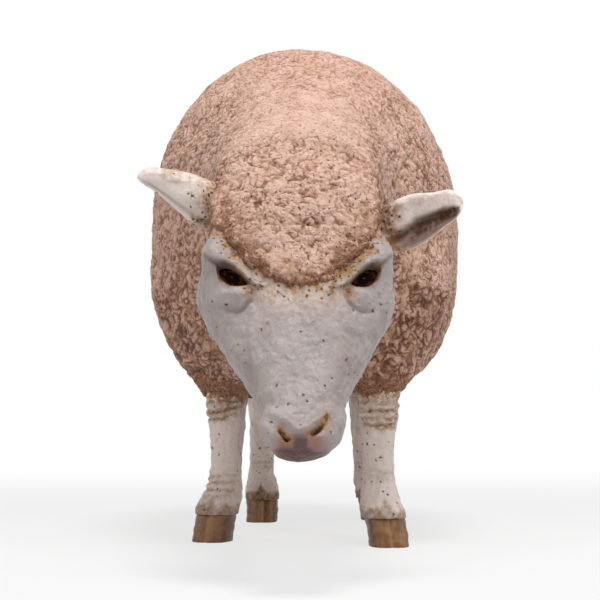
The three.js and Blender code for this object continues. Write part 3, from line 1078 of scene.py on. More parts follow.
@dataclass
class Fleece:
    """The wool as one closed solid: the woolled body, ended at the cap's edge, the jaw and the hems."""

    proud: float = 5.0  # how far it stands out from the skin of the head
    hem_proud: float = 3.0
    lip: float = 7.0  # how round its edges are
    waver: float = 3.2  # how far its edges waver
    bore: float = 46.0  # radius round a leg's line inside which a hem ends the wool

    def __post_init__(self) -> None:
        """Joins the woolled forms."""
        head = Joined(Grown(head_form(), self.proud), [Part(Grown(crown_form(), self.proud), 12)])
        parts = [Part(neck_form(), 40, NECK_BOX), Part(head, 24, HEAD_BOX), Part(tail_form(), 24, TAIL_BOX)]
        for leg in LEGS:
            upper = Grown(Stack(leg_axes(leg), leg_rows(leg), 12, 70), self.hem_proud)
            box = [leg.x - 150, leg.y - 230, -10], [leg.x + 150, leg.y + 150, 520]
            parts.append(Part(upper, 30, box))
        self.body = Joined(trunk_form(), parts)

    def edge(self, points: Array) -> Array:
        """Where the wool ends, mm: negative behind the jaw and under the cap, positive over the bare face.

        The cap's edge is the curve where (|s| / 90) to the 1.8 plus ((h - 20) / 128) to the 1.8 is 1.

        Args:
            points: places, mm.

        Returns:
            The distance at each place.
        """
        q = HEAD.local(points)
        s, n, h = np.abs(q[:, 0]), q[:, 1], np.maximum(q[:, 2] - 20, 0)
        cap = (((s / 90) ** 1.8 + (h / 128) ** 1.8) ** (1 / 1.8) - 1) * 70
        back = np.minimum(-75 + 1.7 * np.maximum(q[:, 2] - 45, 0), -40) - n
        jaw = (points - np.array([0.0, -290.0, 372.0])) @ unit(np.array([0.0, -1.0, -0.15]))
        return soft_min(soft_max(cap, back, 8), jaw, 14)

    def at(self, points: Array) -> Array:
        """Value of the crust.

        Args:
            points: places, mm.

        Returns:
            The value at each place.
        """
        value = self.body.at(points)
        near = points[:, 1] < -200
        if near.any():
            p = points[near]
            edge = self.edge(p) + self.waver * swell(p, 13, 5) + 0.5 * self.waver * swell(p, 6, 6)
            value[near] = soft_max(value[near], edge, self.lip)
        for leg in LEGS:
            far = np.hypot(points[:, 0] - leg.x, points[:, 1] - leg.y)
            low = (points[:, 2] < leg.hem + 30) & (far < 90)
            if low.any():
                p = points[low]
                hem = leg.hem - p[:, 2]
                hem = hem + 1.5 * self.waver * swell(p, 12, 7) + 2.6 * self.waver * swell(p, 38, 8)
                value[low] = soft_max(value[low], soft_min(hem, self.bore - far[low], 6), self.lip)
        return value


@dataclass
class Skin:
    """The smooth casting: the bare head, and the body under the wool."""

    under: float = 8.0  # how deep the body's skin lies under the wool's face

    def __post_init__(self) -> None:
        """Joins the bare forms."""
        body = Joined(trunk_form(), [Part(neck_form(), 40, NECK_BOX), Part(tail_form(), 24, TAIL_BOX)])
        head = Joined(head_form(), [Part(crown_form(), 12)])
        self.whole = Joined(Grown(body, -self.under), [Part(head, 10, HEAD_BOX)])

    def at(self, points: Array) -> Array:
        """Value of the skin."""
        return self.whole.at(points)


class Rings:
    """Level rings round a leg, one above the other.

    Attributes:
        axes: the leg's frame.
        z: (rings, steps) heights, mm.
        front: how far round each place lies, degrees from the front, positive towards +x.
        place: (rings, steps, 3) places in the leg's frame, mm.
        outward: unit normals there.
        base: the same places in the sculptor's frame.
    """

    def __init__(self, leg: LegPlan, rows: Rows, heights: Array, steps: int) -> None:
        """Lays the rings on superelliptic sections.

        Args:
            leg: which leg.
            rows: the sections, as a stack has them.
            heights: height of each ring, mm.
            steps: how many points a ring has.
        """
        angle = np.linspace(0, 2 * math.pi, steps, endpoint=False)
        z, turn = np.meshgrid(heights, angle, indexing="ij")
        a, b, wide, up, down, power_up, power_down = (v.reshape(z.shape) for v in Profile(rows).at(z.ravel()))
        x, y = np.cos(turn), np.sin(turn)
        power = np.where(y > 0, power_up, power_down)
        ring = (np.abs(x) ** power + np.abs(y) ** power) ** (-1 / power)
        self.axes, self.z, self.front = leg_axes(leg), z, np.degrees(np.arctan2(x, -y))
        self.place = np.stack([a + wide * x * ring, b + np.where(y > 0, up, down) * y * ring, z], -1)
        self.outward = unit(np.stack([x / wide, y / up, np.zeros_like(z)], -1))
        self.base = self.moved(np.zeros_like(z))

    def moved(self, out: Array, up: Array | float = 0.0) -> Array:
        """The places in the sculptor's frame, moved out and up by so many mm.

        Args:
            out: how far out each goes, mm.
            up: how far up, mm.

        Returns:
            The places, in the same grid.
        """
        place = self.place + self.outward * out[..., None]
        place[..., 2] += up
        return self.axes.world(place.reshape(-1, 3)).reshape(place.shape)


# ---- Fleece ----


@dataclass(frozen=True)
class Relief:
    """Crumpled plaster: low lumps, knobs, fine folds, thin cracks that come and go, and a stipple.

    Sizes are widths in mm and depths are heights in mm. The pattern is drawn out along the body, to suit a
    view from in front: lengths along it are squeezed to a share of themselves before the noise is read.
    """

    lump_size: float = 15.0
    lump_depth: float = 1.8
    knob_size: float = 7.0
    knob_depth: float = 1.2
    fold_size: float = 7.0
    fold_depth: float = 1.4
    crack_size: float = 17.0
    crack_depth: float = 1.5
    stipple: float = 0.5  # depth of the stipple
    roll_size: float = 36.0
    roll_depth: float = 1.7
    along: float = 0.30  # the share over the forequarters
    closer: float = 0.34  # what is added to it over the hindquarters
    waist: float = 220.0  # y of the change, mm
    turn: float = 60.0  # how gradual it is, mm

    def at(self, points: Array, normals: Array) -> tuple[Array, Array]:
        """Height of the relief, and how deep in a dip each place is, with painted shade added on the
        underside.

        Folds are the size of noise in warped space held under a limit, so they are flat but for thin creases.
        Cracks run where a second noise changes sign, in patches. The top of the back is calmer, and the
        underside is painted darker, as shade.

        Args:
            points: places on the smooth form, mm.
            normals: unit normals there.

        Returns:
            Height along the normal, mm, and 0 on a ridge to 1 in a dip, raised on the underside as painted
            shade.
        """
        head = HEAD.local(points)
        crown = eased(head[:, 2], -30, 10) * eased(points[:, 1], -260, -300)
        flat = np.maximum(-0.10 * crown, 0.45 * eased(normals[:, 2], 0.25, 0.85) * (1.0 - crown))
        low = 0.12 * eased(normals[:, 2], 0.0, -0.5)
        behind = self.turn * np.logaddexp(0.0, (points[:, 1] - self.waist) / self.turn)
        drawn = np.stack([points[:, 0], self.along * points[:, 1] + self.closer * behind, points[:, 2]], 1)
        warp = np.stack([swell(drawn, 16, 21 + k) for k in range(3)], 1)
        small = np.stack([swell(drawn, 7, 27 + k) for k in range(3)], 1)
        bent = drawn + warp * 5.0 + small * 2.0
        lump = swell(bent, self.lump_size, 31)
        knob = swell(bent, self.knob_size, 34)
        fold = np.minimum(np.abs(swell(bent, self.fold_size, 33)) / 0.35, 1.0) ** 0.8
        line = np.exp(-((swell(bent, self.crack_size, 35) / 0.06) ** 2))
        patch = eased(swell(points, 34, 36) + 0.5 * swell(points, 12, 37), -0.2, 0.4)
        crack = line * patch * (0.6 + 0.6 * crown)
        stipple = swell(points, 3.4, 41)
        roll = swell(points, self.roll_size, 43) + 0.6 * swell(points, 90, 44)
        height = self.lump_depth * lump + self.knob_depth * knob + self.fold_depth * (fold - 0.8)
        height = height * (1.0 + low - flat) + self.stipple * stipple - self.crack_depth * crack
        depth = 0.27 - 0.10 * lump - 0.18 * knob - 0.42 * (fold - 0.8)
        # painted shade: wool that faces down is given darker paint
        dim = 0.26 * eased(normals[:, 2], 0.10, -0.55)
        hollow_and_painted_shade = np.clip(np.maximum(depth * (1.3 - flat) + dim, 0.9 * crack), 0.0, 1.0)
        return height + roll * self.roll_depth, hollow_and_painted_shade


HIDDEN = 0.04  # how much of the unwrap a side of the inner face is given


class FleecePart(Enum):
    """The pieces that the fleece is made in."""

    CROWN = "fleece_crown"
    BACK = "fleece_back"
    LEFT_SHOULDER = "fleece_left_side"
    RIGHT_SHOULDER = "fleece_right_side"
    LEFT_FLANK = "fleece_left_flank"
    RIGHT_FLANK = "fleece_right_flank"
    BELLY = "fleece_belly"


@dataclass
class FleeceCrust:
    """The woolled surface, laid as one net and made in pieces that meet edge to edge."""

    form: Fleece
    relief: Relief = Relief()
    divide: int = 4
    inside: float = 5.0  # how far the inner face lies under the outer one

    def lines(self) -> list[Array]:
        """Grid lines, closest over the crown.

        Returns:
            The x, y and z lines, mm.
        """
        return [
            graded([(-255, 10.0), (-120, 9.0), (-90, 7.6), (90, 7.6), (120, 9.0), (255, 10.0)]),
            graded([(-540, 6.6), (-300, 6.6), (-240, 9.6), (690, 9.8)]),
            graded([(150, 10.0), (290, 9.0), (320, 7.8), (450, 7.8), (500, 9.4), (712, 9.8)]),
        ]

    def parts_of(self, middles: Array) -> Array:
        """Which piece each quad belongs to: the crown, or one by its angle round the body.

        Args:
            middles: middle of each quad, mm.

        Returns:
            For each quad, the place of its piece in FleecePart.
        """
        head = HEAD.local(middles)
        core_x = np.interp(middles[:, 1], [-318, 60, 540], [-4, 0, 18])
        core_z = np.interp(middles[:, 1], [-318, -60, 60, 540], [372, 420, 424, 440])
        angle = np.degrees(np.arctan2(middles[:, 0] - core_x, middles[:, 2] - core_z))
        order = list(FleecePart)
        kinds = (FleecePart.BACK, FleecePart.LEFT_SHOULDER, FleecePart.LEFT_FLANK)
        bands = [order.index(kind) for kind in kinds]
        part = np.select([np.abs(angle) < end for end in (38, 88, 140)], bands, order.index(FleecePart.BELLY))
        part += np.isin(part, bands[1:]) & (angle < 0)  # a right piece comes straight after its left one
        top = (head[:, 2] > -14) & (middles[:, 1] < -296) & (head[:, 1] > -100)
        part[top] = order.index(FleecePart.CROWN)
        return part

    def wash(self, points: Array) -> Array:
        """How much brown wash lies on the wool: most along its edges, at the ears and at the hems.

        Args:
            points: places, mm.

        Returns:
            0 to 1 for each place.
        """
        head = HEAD.local(points)
        edge = self.form.edge(points) + 5.0 * swell(points, 18, 51)
        aside = np.abs(head[:, 0])
        wide = 9.0 + 14.0 * eased(aside, 22, 40) * (1.0 - eased(aside, 62, 78))
        wash = (1.0 - eased(-edge / wide, 0.1, 1.1)) * (points[:, 1] < -180)
        for root in EAR_ROOTS:
            far = np.linalg.norm(points - np.array(root), axis=1)
            wash = np.maximum(wash, 1.0 - eased(far + 7.0 * swell(points, 18, 52), 20, 42))
        for leg in LEGS:
            far = np.hypot(points[:, 0] - leg.x, points[:, 1] - leg.y)
            up = points[:, 2] - leg.hem + 6.0 * swell(points, 20, 53)
            wash = np.maximum(wash, (1.0 - eased(up, 4, 34)) * (1.0 - eased(far, 62, 92)))
        return wash

    def build(self, finish: Material) -> list[Object]:
        """Makes the pieces.

        Args:
            finish: the painted wool.

        Returns:
            One object for each piece.
        """
        net = net_over(self.form, self.lines()).evened(self.form, rounds=4)
        fine = FineNet(net, self.divide, np.ones(len(net.quads), bool))
        smooth = settled(self.form, fine.points, reach=3.0, rounds=2)
        quads = fine.fine_quads()
        normals = corner_normals(smooth, quads)

        def sculpted(rows: Array) -> Array:
            """Relief and hollow for rows of place and normal."""
            return np.stack(self.relief.at(rows[:, :3], rows[:, 3:]), 1)

        height, hollow_and_painted_shade = shared(sculpted, np.concatenate([smooth, normals], 1)).T
        points = smooth + normals * height[:, None]
        # the wool's darkness mark holds its hollows and painted shade on the underside
        marks = {
            "hollow_and_painted_shade": hollow_and_painted_shade,
            "wash": shared(self.wash, smooth),
            "back": eased(normals[:, 2], 0.1, 0.85) * eased(smooth[:, 2], 430, 640),
            "crown": eased(HEAD.local(smooth)[:, 2], -60, 20) * eased(smooth[:, 1], -250, -310),
        }
        coarse_normals = corner_normals(net.points, net.quads)
        every = np.concatenate([points, points[: len(net.points)] - coarse_normals * self.inside])
        shading = np.concatenate([corner_normals(points, quads), -coarse_normals])
        part = self.parts_of(net.middles())
        made = []
        for number, kind in enumerate(FleecePart):
            shape, source = self.cut_out(fine, np.flatnonzero(part == number), every)
            shape.normals = shading[source]
            on_face = np.minimum(source, len(points) - 1)
            shape.marks = {mark: values[on_face] for mark, values in marks.items()}
            made.append(shape.piece(kind.value, finish))
        return made

    def cut_out(self, fine: FineNet, pick: Array, every: Array) -> tuple[Shape, Array]:
        """Closed shape of some of the net's quads: an outer face, an inner face, and a rim where they end.

        Args:
            fine: the divided net.
            pick: numbers of the quads.
            every: the sculpted points, then the inner face's, one for each coarse point, mm.

        Returns:
            The shape, and the row in every of each of its points.
        """
        net, n, under = fine.net, fine.n, len(fine.points)
        outer = fine.fine_quads(pick)
        back = net.quads[pick][:, ::-1] + under
        edges = fine.side_edges[pick]
        uses = np.bincount(edges.ravel())
        quad, at = np.nonzero(uses[edges] % 2 == 1)
        a = net.quads[pick][quad, at]
        b = net.quads[pick][quad, (at + 1) % 4]
        between = np.stack([fine.side_points(pick, k) for k in range(4)], 1)[quad, at][:, ::-1]
        rim = np.column_stack([b, between, a, a + under, b + under])
        corners = np.concatenate([outer.ravel(), back.ravel(), rim.ravel()])
        counts = np.repeat([4, 4, n + 3], [len(outer), len(back), len(rim)])
        side = facing(net.normals())[pick]
        chart = np.concatenate([np.repeat(side, n * n), side + 6, side[quad] + 6])
        flat = laid_flat(every[corners], np.repeat(chart % 6, counts))
        source, renamed = np.unique(corners, return_inverse=True)
        weight = np.repeat([1.0, HIDDEN], 6)
        return Shape(every[source], renamed.ravel(), counts, chart, flat, weight), source


# ---- Head and skin ----

SKIN_MARKS = ("crease", "stain", "socket", "pink", "mauve_and_painted_shade", "warm_and_painted_light", "speck")


@dataclass
class EyePlan:
    """Place of one eye in the head frame, and the shape of its lids, brow and pouch.

    The eye's own axes are a, along the slit to its inner corner, b, up to the brow, and c, out of the head.
    The rows give values by a: the slit's upper and lower edge, and the brow's lower edge, thickness, height.
    """

    side: Side
    outer: Triple = (77.9, -3.0, 119.8)
    inner: Triple = (47.2, -1.0, 141.5)
    edge_rows: Rows = (
        (-18.9, 0.0, 0.0), (-14.5, 2.9, -5.0), (-9.0, 5.0, -8.2), (-3.0, 5.0, -9.7),
        (4.0, 4.2, -9.6), (9.6, 2.9, -7.4), (15.0, 1.2, -3.9), (18.9, 0.0, 0.0),
    )
    brow_rows: Rows = (
        (-50, 6.5, 26, 0.0), (-38, 4.6, 22, 3.5), (-27, 1.8, 17, 7.0), (-19, 1.2, 15, 8.5),
        (-9, 5.0, 13, 8.8), (-2, 5.0, 12, 8.4), (8, 3.3, 10, 7.4), (18.9, 0.6, 8, 5.8),
        (28, 0.8, 6.5, 3.4), (36, 2.0, 5, 0.0),
    )
    sink: float = 12.0  # how deep the skin goes between the lids
    pouch: Triple = (13.0, -14.4, 16.6)  # its middle along a and b, and its radius
    pouch_depth: float = 4.8

    def __post_init__(self) -> None:
        """Works out the eye's frame, mirrored for the right eye."""
        flip = np.array([self.side.value, 1.0, 1.0])
        outer, inner = np.array(self.outer) * flip, np.array(self.inner) * flip
        a = unit(inner - outer)
        c = np.array([0.24, 0.95, 0.20]) * flip
        c = unit(c - a * float(np.dot(a, c)))
        self.axes = Axes((outer + inner) / 2.0, np.stack([a, np.cross(a, c) * self.side.value, c], 1))
        self.edges, self.brow = Profile(self.edge_rows), Profile(self.brow_rows)

    def lids(self, q: Array) -> tuple[Array, Marks]:
        """Moves points of the head, given in the head frame, to form the lids, brow and pouch.

        The skin sinks between the lids' edges. A thick roll, the brow, stands over the upper edge, steep
        below and round above, with painted shade on its steep underside. A thin rim follows the lower edge,
        and a round pouch hangs under it, ended by a fold.

        Args:
            q: places in the head frame, mm.

        Returns:
            The moved places, and the marks "socket", "crease" and "stain".
        """
        p = self.axes.local(q)
        a, b, c = p.T
        top, bottom = self.edges.at(a)
        line, thick, tall = self.brow.at(a)
        close = 1 - eased(np.abs(c), 22, 32)
        over = b - line
        brow = tall * eased(over, -0.5, 2.0) * (1 - eased(over / thick, 0.30, 1.30))
        inside = np.minimum(top - b, b - bottom) * np.where(np.abs(a) < 19, 1.0, 0.0)
        sunk = eased(inside, -0.2, 1.8)
        below = bottom - b
        ends = 1 - eased(np.abs(a), 17, 25)
        rim = (1.7 * bell(below, 1.9, 1.5) - 1.1 * bell(below, 5.6, 2.4)) * ends
        side, down, radius = self.pouch
        rho = np.hypot(a - side, b - down) / radius + 0.05 * swell(q, 14, 92) + 0.03 * swell(q, 6, 93)
        turn = np.degrees(np.arctan2(b - down, a - side))
        reach = 1 - eased(np.abs(turn + 38), 30, 88)
        fold = bell(rho, 1.04, 0.13) * reach * (0.85 + 0.4 * swell(q, 12, 94))
        bag = self.pouch_depth * np.exp(-((1.25 * rho) ** 2)) * eased(a, -18, 6) * eased(below, 0, 6)
        p[:, 2] = c + (brow - self.sink * sunk + rim + bag - 3.2 * fold) * close
        lash = bell(np.minimum(np.abs(top - b), np.abs(below)), 0, 1.1) * ends
        # painted shade: the term with over near 0 darkens the brow's steep underside
        crease = np.maximum(0.30 * fold + 0.95 * bell(over, 0.2, 1.6) * tall / 8.8, 0.9 * lash)
        stain = np.maximum(bell(below, 1.2, 1.8) * ends, 0.95 * bell(a, 24, 6) * bell(b, -6, 8))
        marks = {"socket": sunk, "crease": crease, "stain": stain}
        return self.axes.world(p), {name: values * close for name, values in marks.items()}


EYES = tuple(EyePlan(side) for side in Side)


MUZZLE_CORE = np.array([0.0, -19.0, 262.0])  # middle of the muzzle in the head frame, mm


@dataclass
class Muzzle:
    """Nostrils, nose bridge, lips and mouth, sculpted into the face in the head frame."""

    middle: float = -3.4  # how far the nose's middle lies from the head's
    nostrils: Rows = ((18.4, 294.8, 12.2), (14.3, 302.0, 6.8))  # left, right: out, down the face, half length
    gape: float = 1.45  # half width of a nostril
    depth: float = 7.5  # how deep it goes
    mouth: float = 2.4  # how deep the line of the mouth is

    def sculpt(self, q: Array) -> tuple[Array, Marks]:
        """Moves points of the head, given in the head frame, and marks their paint.

        Each nostril is a slit that slants up and out: t runs along it and w across it.

        Args:
            q: places in the head frame, mm.

        Returns:
            The moved places, and the marks "crease", "pink", "mauve", "stain" and "socket".
        """
        s, n, h = q.T
        s = s - self.middle
        face_on = eased(n, -26, -12)
        wide = np.abs(s)
        out, level, slit = (np.where(s > 0, left, right) for left, right in zip(*self.nostrils))
        t = -(wide - out) * 0.682 + (h - level) * 0.731
        w = -(wide - out) * 0.731 - (h - level) * 0.682 - 0.022 * t * t
        open_ = (1 - eased(np.abs(t) / slit, 0.55, 1.0)) * face_on
        hole = bell(w, 0.0, self.gape * (0.50 + 0.80 * eased(t, -4, 7))) * open_
        hole *= np.where(s > 0, eased(t, -6, 2), 1.0)
        wing = 1.3 * bell(w, -5.5, 3.2) * (1 - eased(np.abs(t), 8, 15)) * face_on
        roll_line = 0.76 * (h - (300.0 - 0.80 * wide))
        fade = (1 - eased(wide, 25, 34)) * face_on
        roll = 4.6 * bell(roll_line, 0.0, 4.4) - 2.2 * bell(roll_line, -11, 4.5) * eased(wide, 4, 16)
        philtrum = bell(s, 0, 8.5) * eased(h, 297, 304) * (1 - eased(h, 320, 326))
        ridge = bell(wide, 23, 8) * eased(h, 140, 175) * (1 - eased(h, 235, 275)) * eased(n, -40, -15)
        valley = bell(s, 0, 13) * eased(h, 150, 190) * (1 - eased(h, 240, 280)) * eased(n, -40, -15)
        side_cut = bell(wide - np.interp(h, [150, 200, 250, 275, 290], [60, 48, 37, 34, 33]), 0, 5.5)
        side_cut = side_cut * eased(h, 170, 205) * (1 - eased(h, 272, 292)) * eased(n, -60, -30)
        wrinkle = bell(np.abs(s - 18), 0, 12) * np.sin((h - 0.35 * s + 2.5 * swell(q, 16, 91)) / 2.1)
        wrinkle = wrinkle * bell(h, 268, 10) * face_on
        moved = q.copy()
        moved[:, 1] += -self.depth * hole + wing + roll * fade - 1.3 * philtrum + 2.4 * ridge - 1.6 * valley
        moved[:, 1] += -2.0 * side_cut + 0.5 * wrinkle
        line = np.interp(h, [225, 260, 295, 330], [-49, -42, -36, -33])
        mouth = bell(n, line, 1.7) * eased(h, 232, 246)
        moved += unit(MUZZLE_CORE - q) * (self.mouth * mouth)[:, None]
        stain = bell(w, 0.3, 4.4) * (1 - eased(np.abs(t) - slit, -1, 5)) * face_on
        pink = np.exp(-((wide - 13.0) ** 2 / 90.0 + (h - 308) ** 2 / 45.0)) * face_on
        # partly the nose's own mauve and partly painted shade: under the muzzle, and below the roll between
        # the nostrils
        under = eased(h - 0.5 * n - 0.22 * wide + 2.0 * swell(q, 9, 98), 307.5, 316.5)
        mauve_and_painted_shade = np.maximum(0.9 * (1 - eased(wide, 5, 9)) * eased(h, 299, 305.5), under)
        crease = np.maximum.reduce([0.9 * hole, 0.8 * mouth, 0.20 * side_cut])
        dark = 0.9 * eased(hole, 0.50, 0.95)
        return moved, {"crease": crease, "pink": pink, "mauve_and_painted_shade": mauve_and_painted_shade, "stain": stain, "socket": dark}


@dataclass
class EarCasting:
    """An ear: bent sections from root to tip, with a rolled rim over a cup, or a groove behind a thin rim."""

    plan: EarPlan
    steps: int = 72
    power: float = 2.5  # of its superelliptic sections

    def shape(self) -> Shape:
        """Superelliptic sections along the ear, raised and sunk across the side that faces forward.

        Returns:
            A closed shape with the skin's marks.
        """
        tip = 0.85 + 0.1495 * np.sin(np.linspace(0, math.pi / 2, 14))
        share = np.concatenate([np.linspace(0, 0.84, 38), tip])
        left = self.plan.side is Side.LEFT
        middle, chord, thick, bow = self.plan.sections(share)
        along = np.gradient(middle, share, axis=0)
        front = unit(np.cross(along, chord))
        front *= np.where(front[:, 1:2] > 0, -1.0, 1.0)
        angle = np.linspace(0, 2 * math.pi, self.steps, endpoint=False)
        t, turn = np.meshgrid(share, angle * self.plan.side.value, indexing="ij")
        x, out = (np.sign(v) * np.abs(v) ** (2.0 / self.power) for v in (np.cos(turn), np.sin(turn)))
        forward = eased(out, -0.1, 0.5)
        body = eased(t, 0.12, 0.30) * (1 - eased(t, 0.90, 0.99))
        marks = {name: np.zeros_like(t) for name in SKIN_MARKS}
        if left:
            end = np.interp(t, [0.2, 0.35, 0.5, 0.75, 0.9, 1.0], [-0.35, -0.22, 0.0, 0.05, -0.10, -0.30])
            rolled = eased(x, end - 0.06, end + 0.10)
            sunk = (1 - rolled) * eased(x, -1.02, -0.62)
            relief = (4.6 * rolled * (1 - 0.5 * ((x - 0.5) / 0.6) ** 2) - 7.5 * sunk) * body
            # painted shadow: dark paint for the rim's cast shadow (shade) and for the shade deep in the cup
            # (under times deep)
            shade = bell(x, end - 0.16, 0.17) * body * forward
            under = (1 - rolled) * body * forward
            deep = eased(t, 0.26, 0.50) * eased(x, end - 1.05, end - 0.50)
            marks["crease"] = np.maximum(shade, under * deep)
            marks["pink"] = 0.70 * under * (1 - 0.6 * deep)
            marks["socket"] = 0.40 * shade * eased(t, 0.2, 0.5)
        else:
            groove = bell(x, -0.70, 0.12) * eased(t, 0.10, 0.22) * (1 - eased(t, 0.88, 0.98))
            relief = -2.8 * groove - 1.6 * eased(-x, 0.74, 0.86) * body
            marks["crease"] = 0.42 * groove * forward
        place = middle[:, None] + chord[:, None] * x[..., None]
        lift = thick * out + bow * (1 - x**2) + relief * forward
        place = place + front[:, None] * lift[..., None]
        drawn = place * np.array([0.4, 1.0, 1.0])
        ripple = 1.5 * over_grid(drawn, 13, 95) + 0.8 * over_grid(drawn, 5, 96)
        patchy = over_grid(place, 11, 97)
        place = place + front[:, None] * (ripple * forward)[..., None]
        root = 1 - eased(t + 0.10 * patchy, 0.24, 0.44)
        cluster = bell(t, 0.36, 0.10) * bell(x + 0.2 * patchy, 0.05, 0.42) * (0 if left else 1)
        smear = bell(t + 0.1 * patchy, 0.6, 0.16) * eased(x, 0.1, 0.5) * (0.4 if left else 1)
        marks["stain"] = np.clip(0.75 * root + 0.50 * smear + 0.25 * cluster, 0, 1)
        # painted light: the ears take the lighter warm white
        marks["warm_and_painted_light"] = np.full_like(t, 1.0 if left else 0.85)
        marks["speck"] = np.clip(0.14 + 1.8 * root + 1.3 * cluster, 0, 1.1)
        return grid_shape(place, marks)


COVERED = 0.05  # how much of the unwrap a side of the skin under the wool is given


@dataclass
class SkinCasting:
    """The one skin: head, ears, body and legs, fine where it is bare and coarse under the wool."""

    form: Skin
    fleece: Fleece
    divide: int = 4

    def lines(self) -> list[Array]:
        """Grid lines, closest over the eyes and the face.

        Returns:
            The x, y and z lines, mm.
        """
        across = [(28, 7.7), (36, 6.2), (95, 6.2), (110, 9), (190, 13), (234, 16)]
        along = [(-508, 7.2), (-440, 7.2), (-430, 6.6), (-360, 6.6), (-300, 10), (-250, 18), (646, 19)]
        upward = [(100, 7.2), (190, 7.4), (240, 7.9), (265, 6.2), (335, 6.2), (350, 9), (430, 10)]
        return [
            graded([(-x, step) for x, step in across[::-1]] + across),
            graded(along),
            graded(upward + [(480, 16), (690, 18)]),
        ]

    def head_and_body(self) -> Shape:
        """Skin of everything but the ears and legs.

        Returns:
            One closed shape.
        """
        net = net_over(self.form, self.lines()).evened(self.form, rounds=5)
        middles = net.middles()
        bare = (self.fleece.at(middles) > -6) & (middles[:, 1] < -200)
        fine = FineNet(net, self.divide, bare)
        small = fine.fine_quads()
        used = np.zeros(len(fine.points), bool)
        used[small.ravel()] = True
        points = fine.points.copy()
        points[used] = settled(self.form, points[used], reach=3.0, rounds=2)
        points, marks = self.sculpted(points, used)
        corners, counts = fine.whole_faces()
        side = facing(net.normals())
        chart = np.concatenate([np.repeat(side[bare], self.divide**2), side[~bare] + 6])
        corners = np.concatenate([small.ravel(), corners])
        counts = np.concatenate([np.full(len(small), 4), counts])
        flat = laid_flat(points[corners], np.repeat(chart % 6, counts))
        return Shape(points, corners, counts, chart, flat, np.repeat([1.0, COVERED], 6), marks)

    def sculpted(self, points: Array, used: Array) -> tuple[Array, Marks]:
        """Sculpts the face, and marks its paint.

        Args:
            points: all the points, mm.
            used: which points are bare.

        Returns:
            The moved points, and the marks for each.
        """
        marks = {name: np.zeros(len(points)) for name in SKIN_MARKS}
        p = points[used]
        q, muzzle = Muzzle().sculpt(HEAD.local(p))
        found = {name: np.zeros(len(q)) for name in SKIN_MARKS} | muzzle
        for eye in EYES:
            q, lids = eye.lids(q)
            heighten(found, **lids)
        s, n, h = q.T
        edge = self.fleece.edge(p)
        near = 1 - eased(edge + 6.0 * swell(p, 15, 61), -1, 10)
        brow = eased(h, 120, 142) * (1 - eased(h, 152, 190)) * (1 - eased(np.abs(s), 30, 46))
        streak = bell(np.abs(s) - 0.3 * (149 - h), 31, 3.2) * bell(h, 149, 10) * np.where(s > 0, 1.0, 0.5)
        stain = np.maximum.reduce([0.88 * near, 0.40 * brow, streak])
        heighten(found, stain=stain, crease=0.6 * streak)
        found["warm_and_painted_light"] = 0.25 * brow
        bridge = bell(s, -2, 16) * eased(h, 170, 210)
        lips = eased(np.abs(s), 22, 30) * eased(h, 278, 292)
        found["speck"] = 0.34 + 0.32 * bridge + 0.32 * lips + 1.2 * (1 - eased(edge, 1, 15))
        found["speck"] *= 1 - np.clip(2.5 * found["mauve_and_painted_shade"], 0, 1)
        moved = HEAD.world(q)
        calm = 1 - np.clip(found["socket"], 0, 1)
        normal = unit(slope_of(self.form, p, self.form.at(p)))
        streaky = HEAD.local(p) * np.array([1.0, 1.0, 0.45])
        rough = 0.6 + 0.5 * eased(np.abs(s), 18, 45) + 0.3 * eased(h, 230, 270) - 0.7 * eased(h, 298, 312)
        ripple = 1.8 * swell(p, 26, 64) + (1.5 * swell(streaky, 10, 65) + 0.8 * swell(p, 5, 66)) * rough
        points = points.copy()
        points[used] = moved + normal * (ripple * calm)[:, None]
        for name in SKIN_MARKS:
            marks[name][used] = np.clip(found[name], 0, 1)
        return points, marks

    def build(self, finish: Material) -> Object:
        """Makes the skin.

        Args:
            finish: the painted casting.

        Returns:
            The object.
        """
        shapes = [self.head_and_body()]
        shapes += [EarCasting(plan).shape() for plan in (EAR_LEFT, EAR_RIGHT)]
        shapes += [Shank(leg).shape() for leg in LEGS]
        return Shape.merged(shapes).piece("skin", finish)


@dataclass(frozen=True)
class Fold:
    """A fold across the front of a leg.

    Attributes:
        height: height of its middle, mm.
        sag: how much higher its ends are than its middle, mm.
        depth: how deep it is pressed, mm.
        width: half width of the groove, mm.
        turn: place of its middle round the leg, degrees from the front towards the sheep's left.
    """

    height: float
    sag: float
    depth: float
    width: float
    turn: float = 0.0


FOLDS: dict[str, tuple[Fold, ...]] = {
    "fore_left": (
        Fold(181, 1, 1.3, 2.4),
        Fold(168, 2, 2.4, 2.2, 5),
        Fold(159, -2, 2.0, 1.9, -10),
        Fold(150, 3, 2.6, 2.1),
        Fold(92, 2, 0.5, 2.0, 15),
        Fold(84, 2, 0.4, 1.8),
    ),
    "fore_right": (
        Fold(181, 3, 1.2, 2.2),
        Fold(168, 9, 2.5, 2.2, -8),
        Fold(159, 7, 2.1, 1.9, -20),
        Fold(85, 1, 0.9, 1.6),
        Fold(76, 1, 1.1, 1.5),
        Fold(67, 0, 1.4, 1.5),
        Fold(61, -1, 0.7, 1.4, 20),
    ),
    "hind_left": (Fold(92, 1, 0.6, 1.8), Fold(84, 0, 0.6, 1.8), Fold(196, 4, 0.9, 2.6)),
    "hind_right": (Fold(94, 1, 0.7, 1.8), Fold(87, 0, 0.6, 1.8), Fold(196, 4, 0.9, 2.6)),
}


